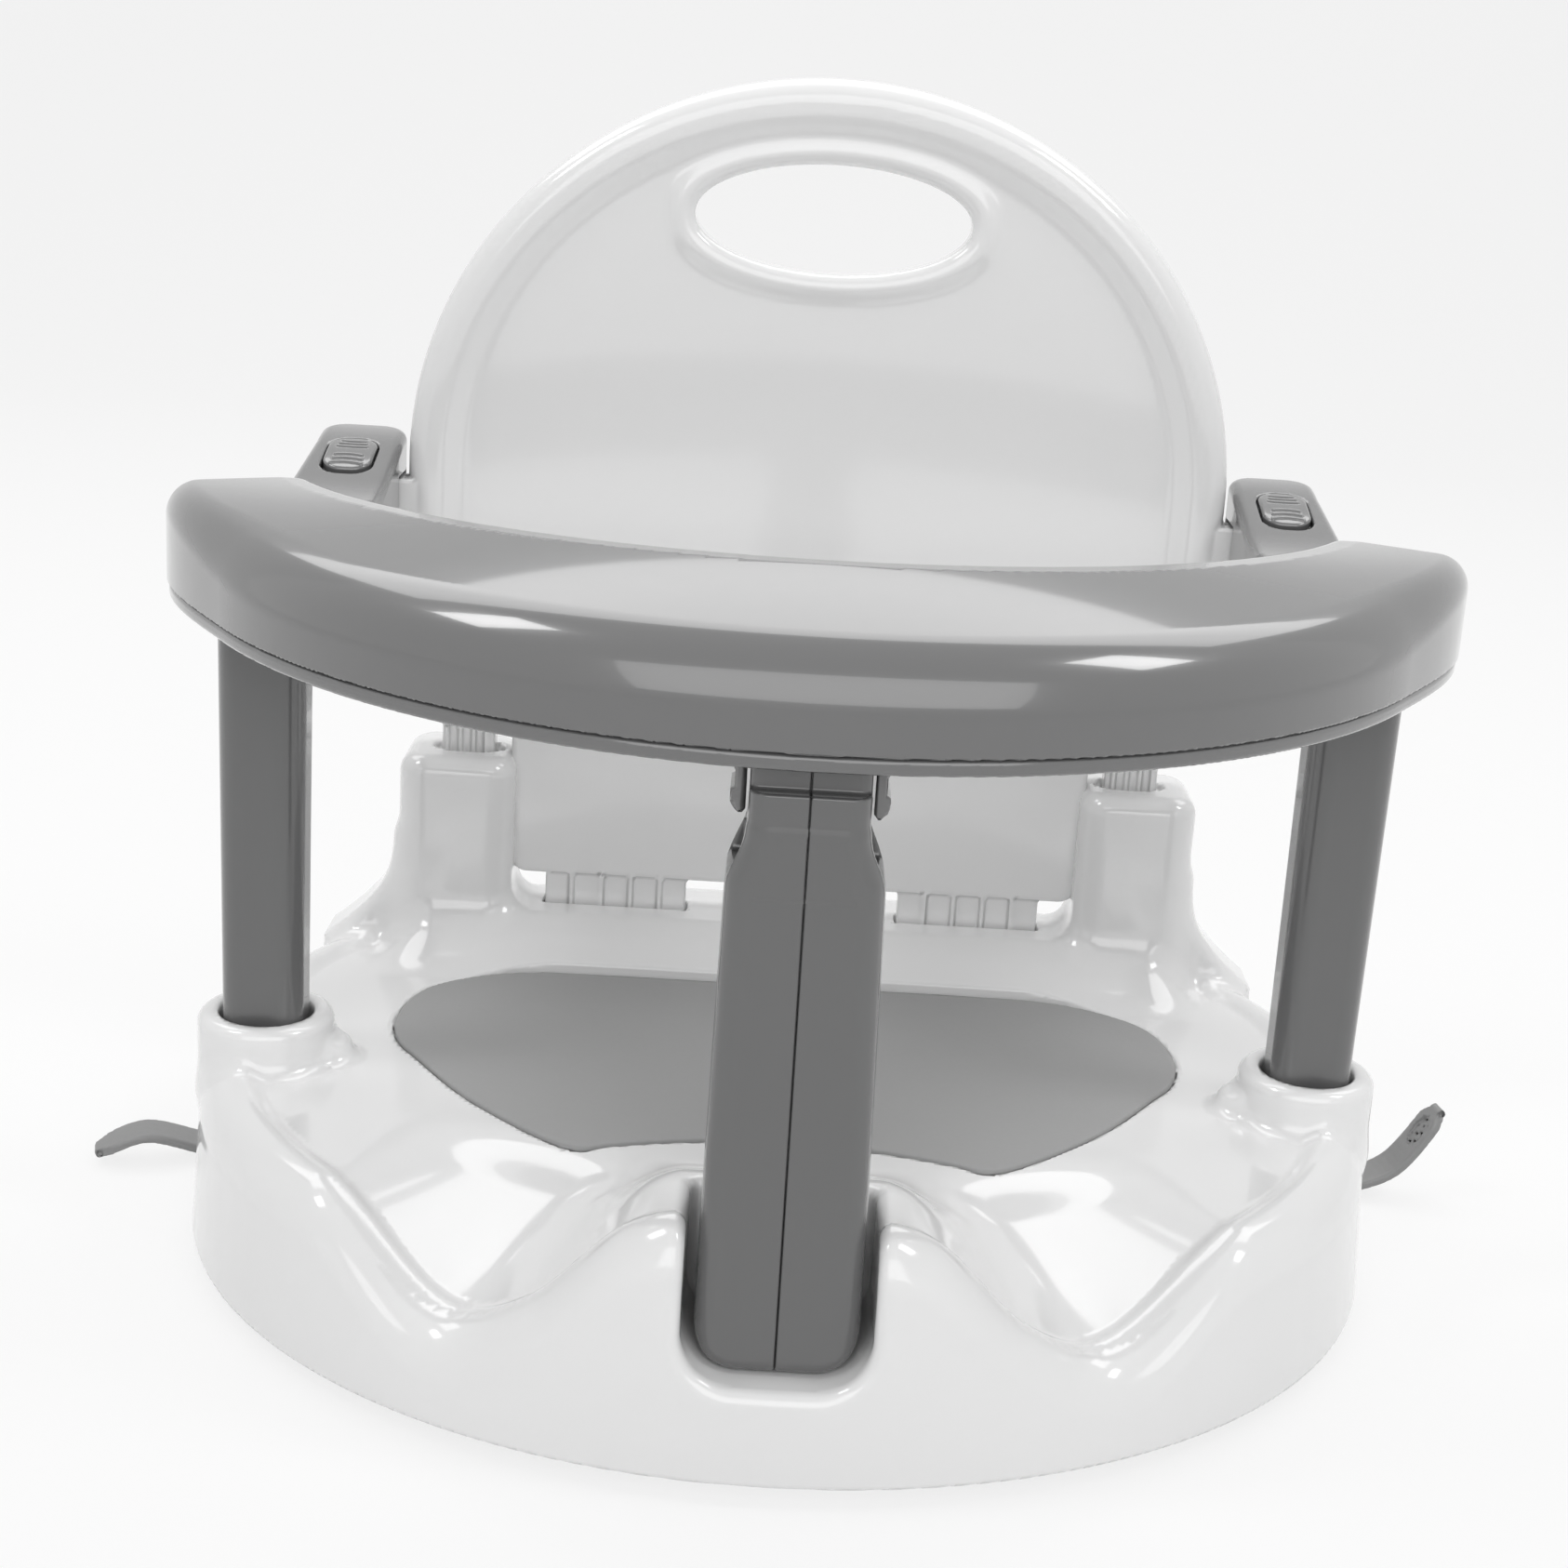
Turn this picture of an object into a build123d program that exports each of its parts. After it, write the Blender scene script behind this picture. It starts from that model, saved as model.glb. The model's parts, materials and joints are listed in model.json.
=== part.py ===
"""Baby bath seat: moulded base on suction cups, lift-out backrest and lift-off safety guard.

Millimetres, +Z up, +Y towards the backrest, origin on the floor in the middle of the base.
The seat stands as stored loosely plugged together: the backrest and the guard that hangs
on it are raised by seat_gap above their pressed-home place.
"""
import os
from math import cos, radians, sin, sqrt, tan

from build123d import *

# Base: plan and heights
base_half_width = 167.5
base_front_reach = 147.0
base_rear_reach = 127.0
base_centre_y = 10.0
rear_squareness = 3.1
skirt_height = 5.0
wall_lean = 0.07
pan_height = 50.0
wall = 2.8
skin_drop = 3.8
edge_round = 6.0
column_root = 8.0

# Base: ledge that carries the backrest, pommel and leg scoops
ledge_rise = 13.0
ledge_start_y = 70.0
ledge_end_y = 97.0
ledge_flat_half = 112.0
ledge_half = 132.0
pommel_rise = 16.0
pommel_start_y = -52.0
pommel_end_y = -100.0
pommel_flat_half = 24.0
pommel_half = 60.0
scoop_depth = 23.0
scoop_x = 80.0
scoop_y = -105.0
scoop_splay = 21.6
scoop_half = 46.0
scoop_length = 66.0
scoop_deepest = 1.0
rib_x = 60.0
rib_drop = 10.0
rib_thickness = 2.2
rib_run = 120.0
tower_root = 8.0

# Base: collars for the side posts
post_x = 147.0
post_y = 0.0
collar_radius = 19.0
collar_bore = 13.0
collar_height = 62.0
collar_mouth = 16.0
collar_lip = 3.0
socket_floor = 20.0
lobe_radius = 7.0
lobe_reach = 17.0
lobe_height = 56.0

# Base: towers for the backrest pegs
tower_x = 107.0
tower_y = 106.0
tower_width = 36.0
tower_height = 112.5
tower_corner = 9.0
tower_top_round = 6.0
flare_reach = 24.0
flare_height = 36.0
flare_depth = 24.0
dimple_length = 22.0
dimple_width = 13.0
dimple_depth = 2.5

# Suction cups
cup_radius = 27.0
cup_height = 18.0
cup_neck = 4.6
cup_head = 7.0
cup_rear_x = 118.0
cup_rear_y = 46.0
cup_front_x = 104.0
cup_front_y = -44.0
boss_radius = 12.0
boss_plate = 3.0
cup_hollow = 5.0
cup_lip = 1.5
cup_head_height = 4.0
tab_width = 13.0
tab_thickness = 2.8
tab_tip_round = 5.0

# Seat mat
mat_thickness = 1.9
mat_proud = 0.5
mat_half_width = 114.5
mat_widest_y = 31.0
mat_back_y = 72.5
mat_back_half = 74.0
mat_lobe_x = 53.0
mat_lobe_y = -51.0
mat_dip_y = -40.0

# Centre post
foot_half = 20.8
post_wall = 2.4
catch_floor = 153.2
catch_width = 18.0
catch_start = 14.2
post_screw_heights = (62.0, 102.0, 140.0)
post_screw_reach = 12.0
post_head_seat = 14.0
boss_round = 4.2
foot_screw_x = 9.0
foot_boss = 14.0
foot_height = 29.4
foot_round = 12.0
shoulder_half = 18.4
shoulder_start = 150.0
shoulder_end = 166.0
neck_half = 13.9
neck_top = 192.0
post_front_y = -126.0
post_depth = 28.0
neck_inset = 4.0
post_edge_round = 6.0
notch_gap = 2.0
notch_round = 13.0

# Guard bar
bar_bottom = 180.0
cover_thickness = 4.0
bar_roll = (
    (196.0, 175.0, 46.0, 15.0),
    (199.5, 174.7, 46.2, 14.7),
    (202.5, 173.8, 46.6, 14.0),
    (205.2, 172.2, 48.3, 13.0),
    (207.5, 169.9, 50.8, 12.0),
    (210.0, 167.0, 54.6, 10.0),
    (213.0, 163.0, 60.6, 7.0),
)
bar_crest_roll = ((-2.2, 0.5), (0.0, 3.0))
bar_top = 217.0
bar_outer_radius = 175.0
bar_outer_y = 46.0
bar_inner_radius = 150.0
bar_inner_y = 73.0
bar_crest_radius = 158.0
bar_crest_y = 69.0
bar_end_y = 12.0
bar_outer_corner = 15.0
bar_inner_corner = 8.0
bar_crest_corner = 4.0
bar_top_tilt = 3.0
bar_wall = 2.6
cover_inset = 0.6
clip_length = 13.0
clip_thickness = 3.6
clip_step = 0.9
clip_depth = 14.0
bar_screw_x = (38.0, 92.0, 132.0)
bar_boss = 14.0
head_recess = 1.8
clip_start = 14.5

# Side posts
side_post_width = 22.6
side_post_depth = 20.4
side_post_taper = 0.7
side_post_round = 6.5
side_post_foot = 33.0
spigot_width = 15.0
spigot_depth = 12.0
spigot_length = 8.0

# Arms and release buttons
arm_bottom = 184.0
arm_cover = 2.6
arm_wall = 2.4
arm_low_top = 198.0
cap_top = 210.0
cap_slope = 15.0
cap_crest_y = 112.0
arm_rear_y = 122.0
arm_front_outer = 166.0
arm_front_inner = 137.0
arm_rear_outer = 153.5
arm_rear_inner = 127.0
arm_corner = 9.0
tongue_length = 18.0
tongue_bottom = 189.6
tongue_top = 196.0
tongue_x = 150.5
tongue_width = 16.0
arm_waist_outer = 157.0
arm_waist_y = 60.0
arm_cap_y = 104.0
arm_top_round = 2.5
arm_bend = 25.0
arm_boss = 8.0
arm_screws_at = ((148.0, 24.0), (141.0, 69.4), (145.0, 113.5))
button_x = 141.0
button_y = 94.0
button_width = 14.7
button_length = 21.5
button_travel = 2.5
button_gap = 0.35
button_proud = 0.9
button_skirt = 1.4
button_corner = 6.5
ridge_rows = (-7.0, -4.6, -2.2, 3.4, 5.8, 8.2)
ridge_width = 1.1
ridge_height = 0.5
stem_height = 9.0
bolt_bottom = 188.5
bolt_height = 4.0
bolt_width = 2.8
bolt_end = 147.0
bolt_front = 89.0
bolt_back = 95.0
bolt_reach = 101.4
spring_radius = 2.2
spring_wire = 0.7
spring_turns = 5
spring_length = 12.0
spring_x = 141.0

# Backrest
back_half = 125.0
back_y = 106.0
back_thickness = 14.0
back_wall = 3.0
shoulder_height = 118.3
dome_start = 203.0
dome_top = 322.0
back_shoulder_round = 18.0
back_edge_round = 5.0
panel_inset = 13.0
panel_recess = 3.5
back_rib_x = (-60.0, 0.0, 60.0)
back_rib_z = (150.0, 200.0)
tongue_half = 88.4
tongue_height = 72.5
tongue_corner = 6.0
handle_width = 82.0
handle_height = 31.5
handle_z = 281.5
handle_lip = 7.0
handle_lip_rise = 2.5
peg_x = 104.5
peg_width = 16.5
peg_depth = 8.0
peg_length = 30.0
peg_rib = 1.0
tab_inner_x = 34.0
tab_outer_x = 79.0
tab_depth = 6.0
tab_length = 17.0
rib_pitch = 9.4
rib_width = 1.6
keeper_reach = 11.0
keeper_bottom = 176.0
keeper_height = 21.0
keeper_depth = 12.0
keeper_groove = 2.0
keeper_groove_x = 132.0
keeper_groove_width = 4.0
keeper_gap = 0.5

# Fits
seat_gap = 5.5
slide_fit = 0.3
screw_shank = 1.4
screw_head = 2.8
screw_fit = 0.1
screw_head_high = 1.7

SIDES = {"left": -1, "right": 1}

# Pull tabs of the suction cups: x, y and height from the cup's rim to the tip
TAB_SHAPES = {
    "front_left": [(-83, -30, 2.5), (-62, -16, 2.5), (-45, -5, 2.5)],
    "front_right": [(83, -30, 2.5), (62, -16, 2.5), (45, -5, 2.5)],
    "rear_left": [(-142, 43, 2.5), (-158, 41, 2.6), (-172, 39, 3.1), (-190, 34, 8.4), (-202.6, 27, 3.4)],
    "rear_right": [(142, 49, 2.5), (158, 52, 2.6), (172, 54, 3.1), (190, 57, 9.0), (203, 59, 27.0)],
}

# Grid of the moulded top
grid_x = 15.0
grid_y = 13.0


def smooth(start, end, value):
    """Soft step from 0 at start to 1 at end."""
    t = min(1.0, max(0.0, (value - start) / (end - start)))
    return t * t * (3 - 2 * t)


def scoop_fall(x, y):
    """Depth of the leg scoop under the pan at a plan point."""
    out_x = sin(radians(scoop_splay))
    out_y = -cos(radians(scoop_splay))
    run = (abs(x) - scoop_x) * out_x + (y - scoop_y) * out_y
    side = -(abs(x) - scoop_x) * out_y + (y - scoop_y) * out_x
    share = (run + scoop_length) / scoop_length
    deep = scoop_depth * min(scoop_deepest, max(0.0, share)) * smooth(0, 0.35, share)
    return deep * (1 - smooth(0, 1, abs(side) / scoop_half))


def seat_height(x, y):
    """Height of the moulded top of the base at a plan point."""
    height = pan_height
    rise = ledge_rise * smooth(ledge_start_y, ledge_end_y, y)
    height += rise * (1 - smooth(ledge_flat_half, ledge_half, abs(x)))
    hump = pommel_rise * smooth(pommel_start_y, pommel_end_y, y)
    height += hump * (1 - smooth(pommel_flat_half, pommel_half, abs(x)))
    return height - scoop_fall(x, y)


def base_plan(height, inset):
    """Plan of the base: half an ellipse in front, a squarer rounded rear."""
    half = base_half_width - inset
    rear = base_rear_reach - inset
    power = 2 / rear_squareness
    rear_curve = [
        (half * abs(cos(radians(t))) ** power, base_centre_y + rear * sin(radians(t)) ** power)
        for t in (0, 18, 36, 54, 74)
    ]
    rear_curve.append((0, base_centre_y + rear))
    with BuildSketch(Plane.XY.offset(height)) as plan:
        with BuildLine():
            EllipticalCenterArc(
                (0, base_centre_y), half, base_front_reach - inset, start_angle=180, arc_size=180
            )
            rear_side = Spline(rear_curve, tangents=((0, 1), (-1, 0)))
            mirror(rear_side, Plane.YZ)
        make_face()
    return plan.sketch


def top_surface():
    """One smooth face over the whole base, a little wider than its plan."""
    across = int(base_half_width / grid_x) + 2
    along = int(base_front_reach / grid_y) + 2
    rows = []
    for i in range(-across, across + 1):
        x = i * grid_x
        rows.append(
            [Vector(x, j * grid_y, seat_height(x, j * grid_y)) for j in range(-along, along + 1)]
        )
    return Face.make_surface_from_array_of_points(rows, tol=0.2, min_deg=3)


def base_outside():
    """Closed body under the smooth top, with its rim rounded."""
    high = pan_height + pommel_rise + ledge_rise
    with BuildPart() as form:
        lean = (high - skirt_height) * wall_lean
        loft([base_plan(skirt_height, 0), base_plan(high, lean)])
        split(bisect_by=top_surface(), keep=Keep.BOTTOM)
        rim = form.edges().filter_by(lambda e: e.bounding_box().max.Z > pan_height)
        fillet(rim, edge_round)
    return form.part


def base_hollow():
    """Space inside the base, with the columns, bosses and ribs left standing in it."""
    roof = pan_height - skin_drop
    floor = skirt_height - 1
    pocket_back = post_front_y + post_depth + notch_gap
    pocket_floor = foot_height - slide_fit
    front = base_centre_y - base_front_reach
    with BuildPart() as hollow:
        lean = (roof - floor) * wall_lean
        loft([base_plan(floor, wall), base_plan(roof, wall + lean)])
        for side in SIDES.values():
            # Skin under a leg scoop
            out_x = side * sin(radians(scoop_splay))
            out_y = -cos(radians(scoop_splay))
            lane = Plane(
                origin=(side * scoop_x, scoop_y, 0), x_dir=(out_x, out_y, 0), z_dir=(out_y, -out_x, 0)
            )
            mouth = roof - scoop_depth
            with BuildSketch(lane.offset(-scoop_half)):
                with BuildLine():
                    Polyline(
                        (-scoop_length, roof + 1),
                        (scoop_length, roof + 1),
                        (scoop_length, mouth - scoop_depth),
                        (0, mouth),
                        (wall - scoop_length, roof),
                        close=True,
                    )
                make_face()
            extrude(amount=2 * scoop_half, mode=Mode.SUBTRACT)
            # Column of the side post's socket
            with BuildSketch(Plane.XY.offset(socket_floor - wall)):
                with Locations((side * post_x, post_y)):
                    Circle(collar_bore + wall)
            extrude(amount=pan_height, mode=Mode.SUBTRACT)
            # Root of the tower
            extrude(
                tower_sketch(roof - tower_root, side, 0), amount=tower_height, mode=Mode.SUBTRACT
            )
        # Bosses of the suction cups
        with BuildSketch(Plane.XY.offset(cup_height)):
            with Locations([(x, y) for name, x, y in cup_places()]):
                Circle(boss_radius)
        extrude(amount=pan_height, mode=Mode.SUBTRACT)
        # Walls round the pocket of the centre post
        with BuildSketch(Plane.XY.offset(pocket_floor - wall)):
            with Locations((0, (front + pocket_back + wall) / 2)):
                Rectangle(2 * (foot_half + notch_gap + wall), pocket_back + wall - front)
        extrude(amount=pan_height, mode=Mode.SUBTRACT)
        # Stiffening ribs under the pan
        with BuildSketch(Plane.XY.offset(roof - rib_drop)):
            with Locations((-rib_x, base_centre_y), (0, base_centre_y), (rib_x, base_centre_y)):
                Rectangle(rib_thickness, rib_run)
        extrude(amount=pan_height, mode=Mode.SUBTRACT)
    with BuildPart() as ledge_hollow:
        with BuildSketch(Plane.XY.offset(roof - 1)):
            with Locations((0, tower_y)):
                Rectangle(2 * (tower_x - tower_width / 2) - 2 * wall, tower_width - 2 * wall)
        extrude(amount=ledge_rise + 1)
    return hollow.part, ledge_hollow.part


def cup_places():
    """Name, x and y of every suction cup."""
    return [
        ("front_left", -cup_front_x, cup_front_y),
        ("front_right", cup_front_x, cup_front_y),
        ("rear_left", -cup_rear_x, cup_rear_y),
        ("rear_right", cup_rear_x, cup_rear_y),
    ]


def mat_sketch(height, grow):
    """Outline of the mat: flat back, round cheeks and two lobes towards the legs."""
    half = mat_half_width + grow
    back = mat_back_y + grow
    lobe = mat_lobe_y - grow
    with BuildSketch(Plane.XY.offset(height)) as plan:
        with BuildLine():
            Line((-mat_back_half, back), (mat_back_half, back))
            cheek = Spline(
                (mat_back_half, back),
                (half, mat_widest_y),
                (mat_lobe_x, lobe),
                (0, mat_dip_y - grow),
                tangents=((1, 0), (0, -1), (-1, 0), (-1, 0)),
            )
            mirror(cheek, Plane.YZ)
        make_face()
    return plan.sketch


def notch_sketch(bottom):
    """U shape in the pommel around the centre post, seen from the front."""
    back = post_front_y + post_depth + notch_gap
    top = pan_height + pommel_rise + ledge_rise
    with BuildSketch(Plane.XZ.offset(-back)) as face:
        with Locations((0, (top + bottom) / 2)):
            Rectangle(2 * (foot_half + notch_gap), top - bottom)
        fillet(face.vertices().group_by(Axis.Y)[0], notch_round)
    return face.sketch


def tower_sketch(height, side, grow):
    """Rounded square of one tower."""
    with BuildSketch(Plane.XY.offset(height)) as plan:
        with Locations((side * tower_x, tower_y)):
            RectangleRounded(tower_width + 2 * grow, tower_width + 2 * grow, tower_corner)
    return plan.sketch


def make_tower(side):
    """One tower: rounded column with a flared outer root."""
    root = pan_height - column_root
    with BuildPart() as tower:
        extrude(tower_sketch(root, side, 0), amount=tower_height - root)
        fillet(tower.edges().group_by(Axis.Z)[-1], tower_top_round)
        outer = tower_x + tower_width / 2
        foot = pan_height - 1
        with BuildSketch(Plane.XZ.offset(-tower_y - flare_depth / 2 + 2)):
            with BuildLine():
                Spline(
                    (side * (outer + flare_reach), foot),
                    (side * (outer - 1), foot + flare_height),
                    tangents=((-side, 0.25), (0, 1)),
                )
                Polyline(
                    (side * (outer - 1), foot + flare_height),
                    (side * (outer - tower_corner), foot),
                    (side * (outer + flare_reach), foot),
                )
            make_face()
        extrude(amount=flare_depth)
        # Trim to the leaning wall of the base
        lean = (pan_height - skirt_height) * wall_lean
        extrude(base_plan(root - 1, lean), amount=tower_height, mode=Mode.INTERSECT)
    return tower.part


def peg_outline(grow):
    """Section of a backrest peg: flat bar with upright ribs on its front and back."""
    with BuildSketch() as plan:
        Rectangle(peg_width + 2 * grow, peg_depth + 2 * grow)
        with GridLocations(peg_width / 4, 0, 4, 1):
            Rectangle(rib_width + 2 * grow, peg_depth + 2 * (peg_rib + grow))
    return plan.sketch


def make_base_shell():
    """White base: one moulding, open below."""
    pocket_back = post_front_y + post_depth + notch_gap
    pocket_floor = foot_height - slide_fit
    roof = pan_height - skin_drop
    cups = [(x, y) for name, x, y in cup_places()]
    hollow, ledge_hollow = base_hollow()
    with BuildPart() as base_shell:
        add(base_outside())
        add(hollow, mode=Mode.SUBTRACT)
        add(ledge_hollow, mode=Mode.SUBTRACT)
        for side in SIDES.values():
            add(make_tower(side))
            # Collar with its lobe
            with BuildSketch(Plane.XY.offset(pan_height - column_root)):
                with Locations((side * post_x, post_y)):
                    Circle(collar_radius)
            extrude(amount=collar_height - pan_height + column_root)
            with BuildSketch(Plane.XY.offset(pan_height - 1)):
                with Locations((side * (post_x - lobe_reach), post_y)):
                    Circle(lobe_radius)
            extrude(amount=lobe_height - pan_height + 1)
        collar_rims = base_shell.edges().filter_by(GeomType.CIRCLE)
        collar_rims = collar_rims.filter_by(lambda e: abs(e.center().Z - collar_height) < 0.01)
        fillet(collar_rims, collar_lip)
        for side in SIDES.values():
            # Bore of the collar and the fitted socket below it
            with BuildSketch(Plane.XY.offset(collar_height)):
                with Locations((side * post_x, post_y)):
                    Circle(collar_bore)
            extrude(amount=-collar_mouth, mode=Mode.SUBTRACT)
            with BuildSketch(Plane.XY.offset(collar_height)):
                with Locations((side * post_x, post_y)):
                    RectangleRounded(
                        side_post_width + 2 * slide_fit,
                        side_post_depth + 2 * slide_fit,
                        side_post_round,
                    )
            extrude(amount=socket_floor - collar_height, mode=Mode.SUBTRACT)
            # Dimple and socket of the backrest peg
            socket = peg_length - (shoulder_height - tower_height) + seat_gap + 1
            with BuildSketch(Plane.XY.offset(tower_height)):
                with Locations((side * peg_x, tower_y)):
                    Ellipse(dimple_length / 2, dimple_width / 2)
            extrude(amount=-dimple_depth, mode=Mode.SUBTRACT)
            with BuildSketch(Plane.XY.offset(tower_height)):
                with Locations((side * peg_x, tower_y)):
                    add(peg_outline(slide_fit))
            extrude(amount=-socket, mode=Mode.SUBTRACT)
        # Pocket of the centre post, open to the front and above
        extrude(
            notch_sketch(pocket_floor), amount=2 * base_front_reach, mode=Mode.SUBTRACT
        )
        # Slots for the backrest's ribbed tabs
        with BuildSketch(Plane.XY.offset(pan_height + ledge_rise + 1)):
            middle = (tab_inner_x + tab_outer_x) / 2
            with Locations((-middle, back_y), (middle, back_y)):
                Rectangle(
                    tab_outer_x - tab_inner_x + 2 * slide_fit,
                    tab_depth + 2 * (peg_rib + slide_fit),
                )
        extrude(amount=-(tab_length + ledge_rise), mode=Mode.SUBTRACT)
        # Bores of the suction cups' necks and the hollows over their heads
        with BuildSketch(Plane.XY.offset(cup_height)):
            with Locations(cups):
                Circle(cup_neck + screw_fit)
        extrude(amount=boss_plate, mode=Mode.SUBTRACT)
        with BuildSketch(Plane.XY.offset(cup_height + boss_plate)):
            with Locations(cups):
                Circle(cup_head + slide_fit)
        extrude(amount=cup_head_height + slide_fit, mode=Mode.SUBTRACT)
        with BuildSketch(Plane.XY.offset(cup_height + boss_plate + wall)):
            with Locations(cups):
                Circle(boss_radius - wall)
        extrude(amount=roof - cup_height - boss_plate - wall, mode=Mode.SUBTRACT)
        # Recess of the mat
        extrude(
            mat_sketch(pan_height + mat_proud - mat_thickness, slide_fit),
            amount=mat_thickness + ledge_rise,
            mode=Mode.SUBTRACT,
        )
        # Holes of the screws that hold the centre post
        with BuildSketch(Plane.XY.offset(foot_height)):
            with Locations(foot_screw_places()):
                Circle(screw_shank + screw_fit)
        extrude(amount=-2 * wall, mode=Mode.SUBTRACT)
    return base_shell


def make_seat_mat():
    """Soft grey mat laid in the pan's recess."""
    with BuildPart() as seat_mat:
        extrude(mat_sketch(pan_height + mat_proud, 0), amount=-mat_thickness)
    return seat_mat


def make_suction_cup(x, y, tab_points):
    """Cup with its neck, head and pull tab; the tab follows tab_points from the rim outwards."""
    stem = boss_radius * 0.7
    tip = cup_height + boss_plate + cup_head_height
    with BuildPart() as cup:
        with BuildSketch(Plane.XZ):
            with BuildLine():
                Line((0, cup_hollow), (cup_neck, cup_hollow))
                Spline(
                    (cup_neck, cup_hollow),
                    (cup_radius - cup_lip, 0),
                    tangents=((1, 0), (1, -0.15)),
                )
                Polyline((cup_radius - cup_lip, 0), (cup_radius, 0), (cup_radius, cup_lip))
                Spline(
                    (cup_radius, cup_lip),
                    (stem, cup_height - 2 * cup_lip),
                    tangents=((-1, 0.15), (-0.6, 1)),
                )
                Polyline(
                    (stem, cup_height - 2 * cup_lip),
                    (stem, cup_height),
                    (cup_neck, cup_height),
                    (cup_neck, cup_height + boss_plate),
                    (cup_head, cup_height + boss_plate),
                    (cup_neck, tip),
                    (0, tip),
                    (0, cup_hollow),
                )
            make_face()
        revolve(axis=Axis.Z)
        # Pull tab
        start = Vector(*tab_points[0])
        way = Vector(tab_points[-1][0], tab_points[-1][1], 0).normalized()
        with BuildLine() as path:
            Spline(tab_points, tangents=(way, Vector(*tab_points[-1]) - Vector(*tab_points[-2])))
        with BuildSketch(Plane(origin=start, x_dir=(-way.Y, way.X, 0), z_dir=way)):
            Rectangle(tab_width, tab_thickness)
        sweep(path=path.line)
        tip_face = cup.faces().sort_by_distance(tab_points[-1])[0]
        short = tip_face.edges().filter_by(lambda e: e.length < tab_thickness + 0.1)
        fillet(cup.edges().filter_by(lambda e: near_tip(e, short)), tab_tip_round)
    return cup.part.moved(Location((x, y, 0)))


def near_tip(edge, wanted):
    """True for an edge whose middle is the middle of one of the wanted edges."""
    return any((edge.center() - other.center()).length < 0.01 for other in wanted)


def tab_route(x, y, shape):
    """Points of a pull tab, relative to its cup: shape holds x, y and height of each."""
    return [(px - x, py - y, height) for px, py, height in shape]


def post_outline(inset):
    """Half outline of the centre post seen from the front, for positive X."""
    low = foot_height + inset
    with BuildSketch(Plane.XZ.offset(-post_front_y - inset)) as face:
        with BuildLine():
            Polyline(
                (0, low),
                (foot_half - inset, low),
                (foot_half - inset, foot_height + 2 * foot_round),
                (shoulder_half - inset, shoulder_start),
            )
            Spline(
                (shoulder_half - inset, shoulder_start),
                (neck_half - inset, shoulder_end),
                tangents=((-0.04, 1), (-0.3, 1)),
            )
            Polyline((neck_half - inset, shoulder_end), (0, shoulder_end), (0, low))
        make_face()
        corner = face.vertices().group_by(Axis.Y)[0].sort_by(Axis.X)[-1]
        fillet(corner, foot_round - inset)
    return face.sketch


def make_post_half(side):
    """One half of the centre post: a shell open at the seam, with screw bosses."""
    back = post_front_y + post_depth
    middle = post_front_y + post_depth / 2
    with BuildPart() as half:
        extrude(post_outline(0), amount=-post_depth)
        rims = half.edges().filter_by(lambda e: e.center().X > 1)
        front_rim = rims.filter_by(lambda e: e.bounding_box().max.Y < post_front_y + 0.01)
        rear_rim = rims.filter_by(lambda e: e.bounding_box().min.Y > back - 0.01)
        top_rims = [e for e in front_rim + rear_rim if e.center().Z > shoulder_end - 0.01]
        fillet([e for e in front_rim + rear_rim if e not in top_rims], post_edge_round)
        # Neck
        with BuildSketch(Plane.XY.offset(shoulder_end - 1)):
            with Locations((0, middle)):
                RectangleRounded(
                    2 * neck_half, post_depth - 2 * neck_inset, post_edge_round / 2
                )
            with Locations((-neck_half, middle)):
                Rectangle(2 * neck_half, post_depth, mode=Mode.SUBTRACT)
        extrude(amount=neck_top - shoulder_end + 1)
        # Hollow
        with BuildSketch(Plane.XZ) as inside:
            add(post_outline(post_wall).moved(Location((0, post_wall - post_front_y, 0))))
            with Locations((catch_start - post_wall + foot_half, catch_floor - post_wall + foot_half)):
                Rectangle(2 * foot_half, 2 * foot_half, mode=Mode.SUBTRACT)
        room = inside.sketch.moved(Location((0, back - post_wall, 0)))
        extrude(room, amount=post_depth - 2 * post_wall, mode=Mode.SUBTRACT)
        with BuildSketch(Plane.XY.offset(shoulder_end - 2 * post_wall)):
            with Locations((0, middle)):
                Rectangle(2 * (neck_half - post_wall), post_depth - 2 * (neck_inset + post_wall))
        extrude(amount=neck_top - shoulder_end + post_wall, mode=Mode.SUBTRACT)
        # Catch notch of the guard's clip
        with BuildSketch(Plane.XY.offset(catch_floor)):
            with Locations((catch_start + shoulder_half, middle)):
                Rectangle(2 * shoulder_half, catch_width)
        extrude(amount=shoulder_end - catch_floor + neck_inset, mode=Mode.SUBTRACT)
        # Screw bosses along the seam and in the foot
        for height in post_screw_heights:
            with BuildSketch(Plane.YZ):
                with Locations((middle, height)):
                    Circle(boss_round)
            lean = (foot_half - shoulder_half) / (shoulder_start - foot_height)
            extrude(amount=foot_half - post_wall / 2 - 1.3 * lean * (height - foot_height))
        with BuildSketch(Plane.XY.offset(foot_height + post_wall / 2)):
            with Locations((foot_screw_x, middle)):
                Circle(boss_round)
        extrude(amount=foot_boss)
        with BuildSketch(Plane.XY.offset(foot_height)):
            with Locations((foot_screw_x, middle)):
                Circle(screw_shank + screw_fit)
        extrude(amount=foot_boss, mode=Mode.SUBTRACT)
        with BuildSketch(Plane.YZ):
            with Locations([(middle, height) for height in post_screw_heights]):
                Circle(screw_shank + screw_fit)
        bore = post_screw_reach if side < 0 else foot_half
        extrude(amount=bore, mode=Mode.SUBTRACT)
        if side > 0:
            with BuildSketch(Plane.YZ.offset(post_head_seat)):
                with Locations([(middle, height) for height in post_screw_heights]):
                    Circle(screw_head + screw_fit)
            extrude(amount=foot_half, mode=Mode.SUBTRACT)
    return half.part if side > 0 else mirror(half.part, Plane.YZ)


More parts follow.
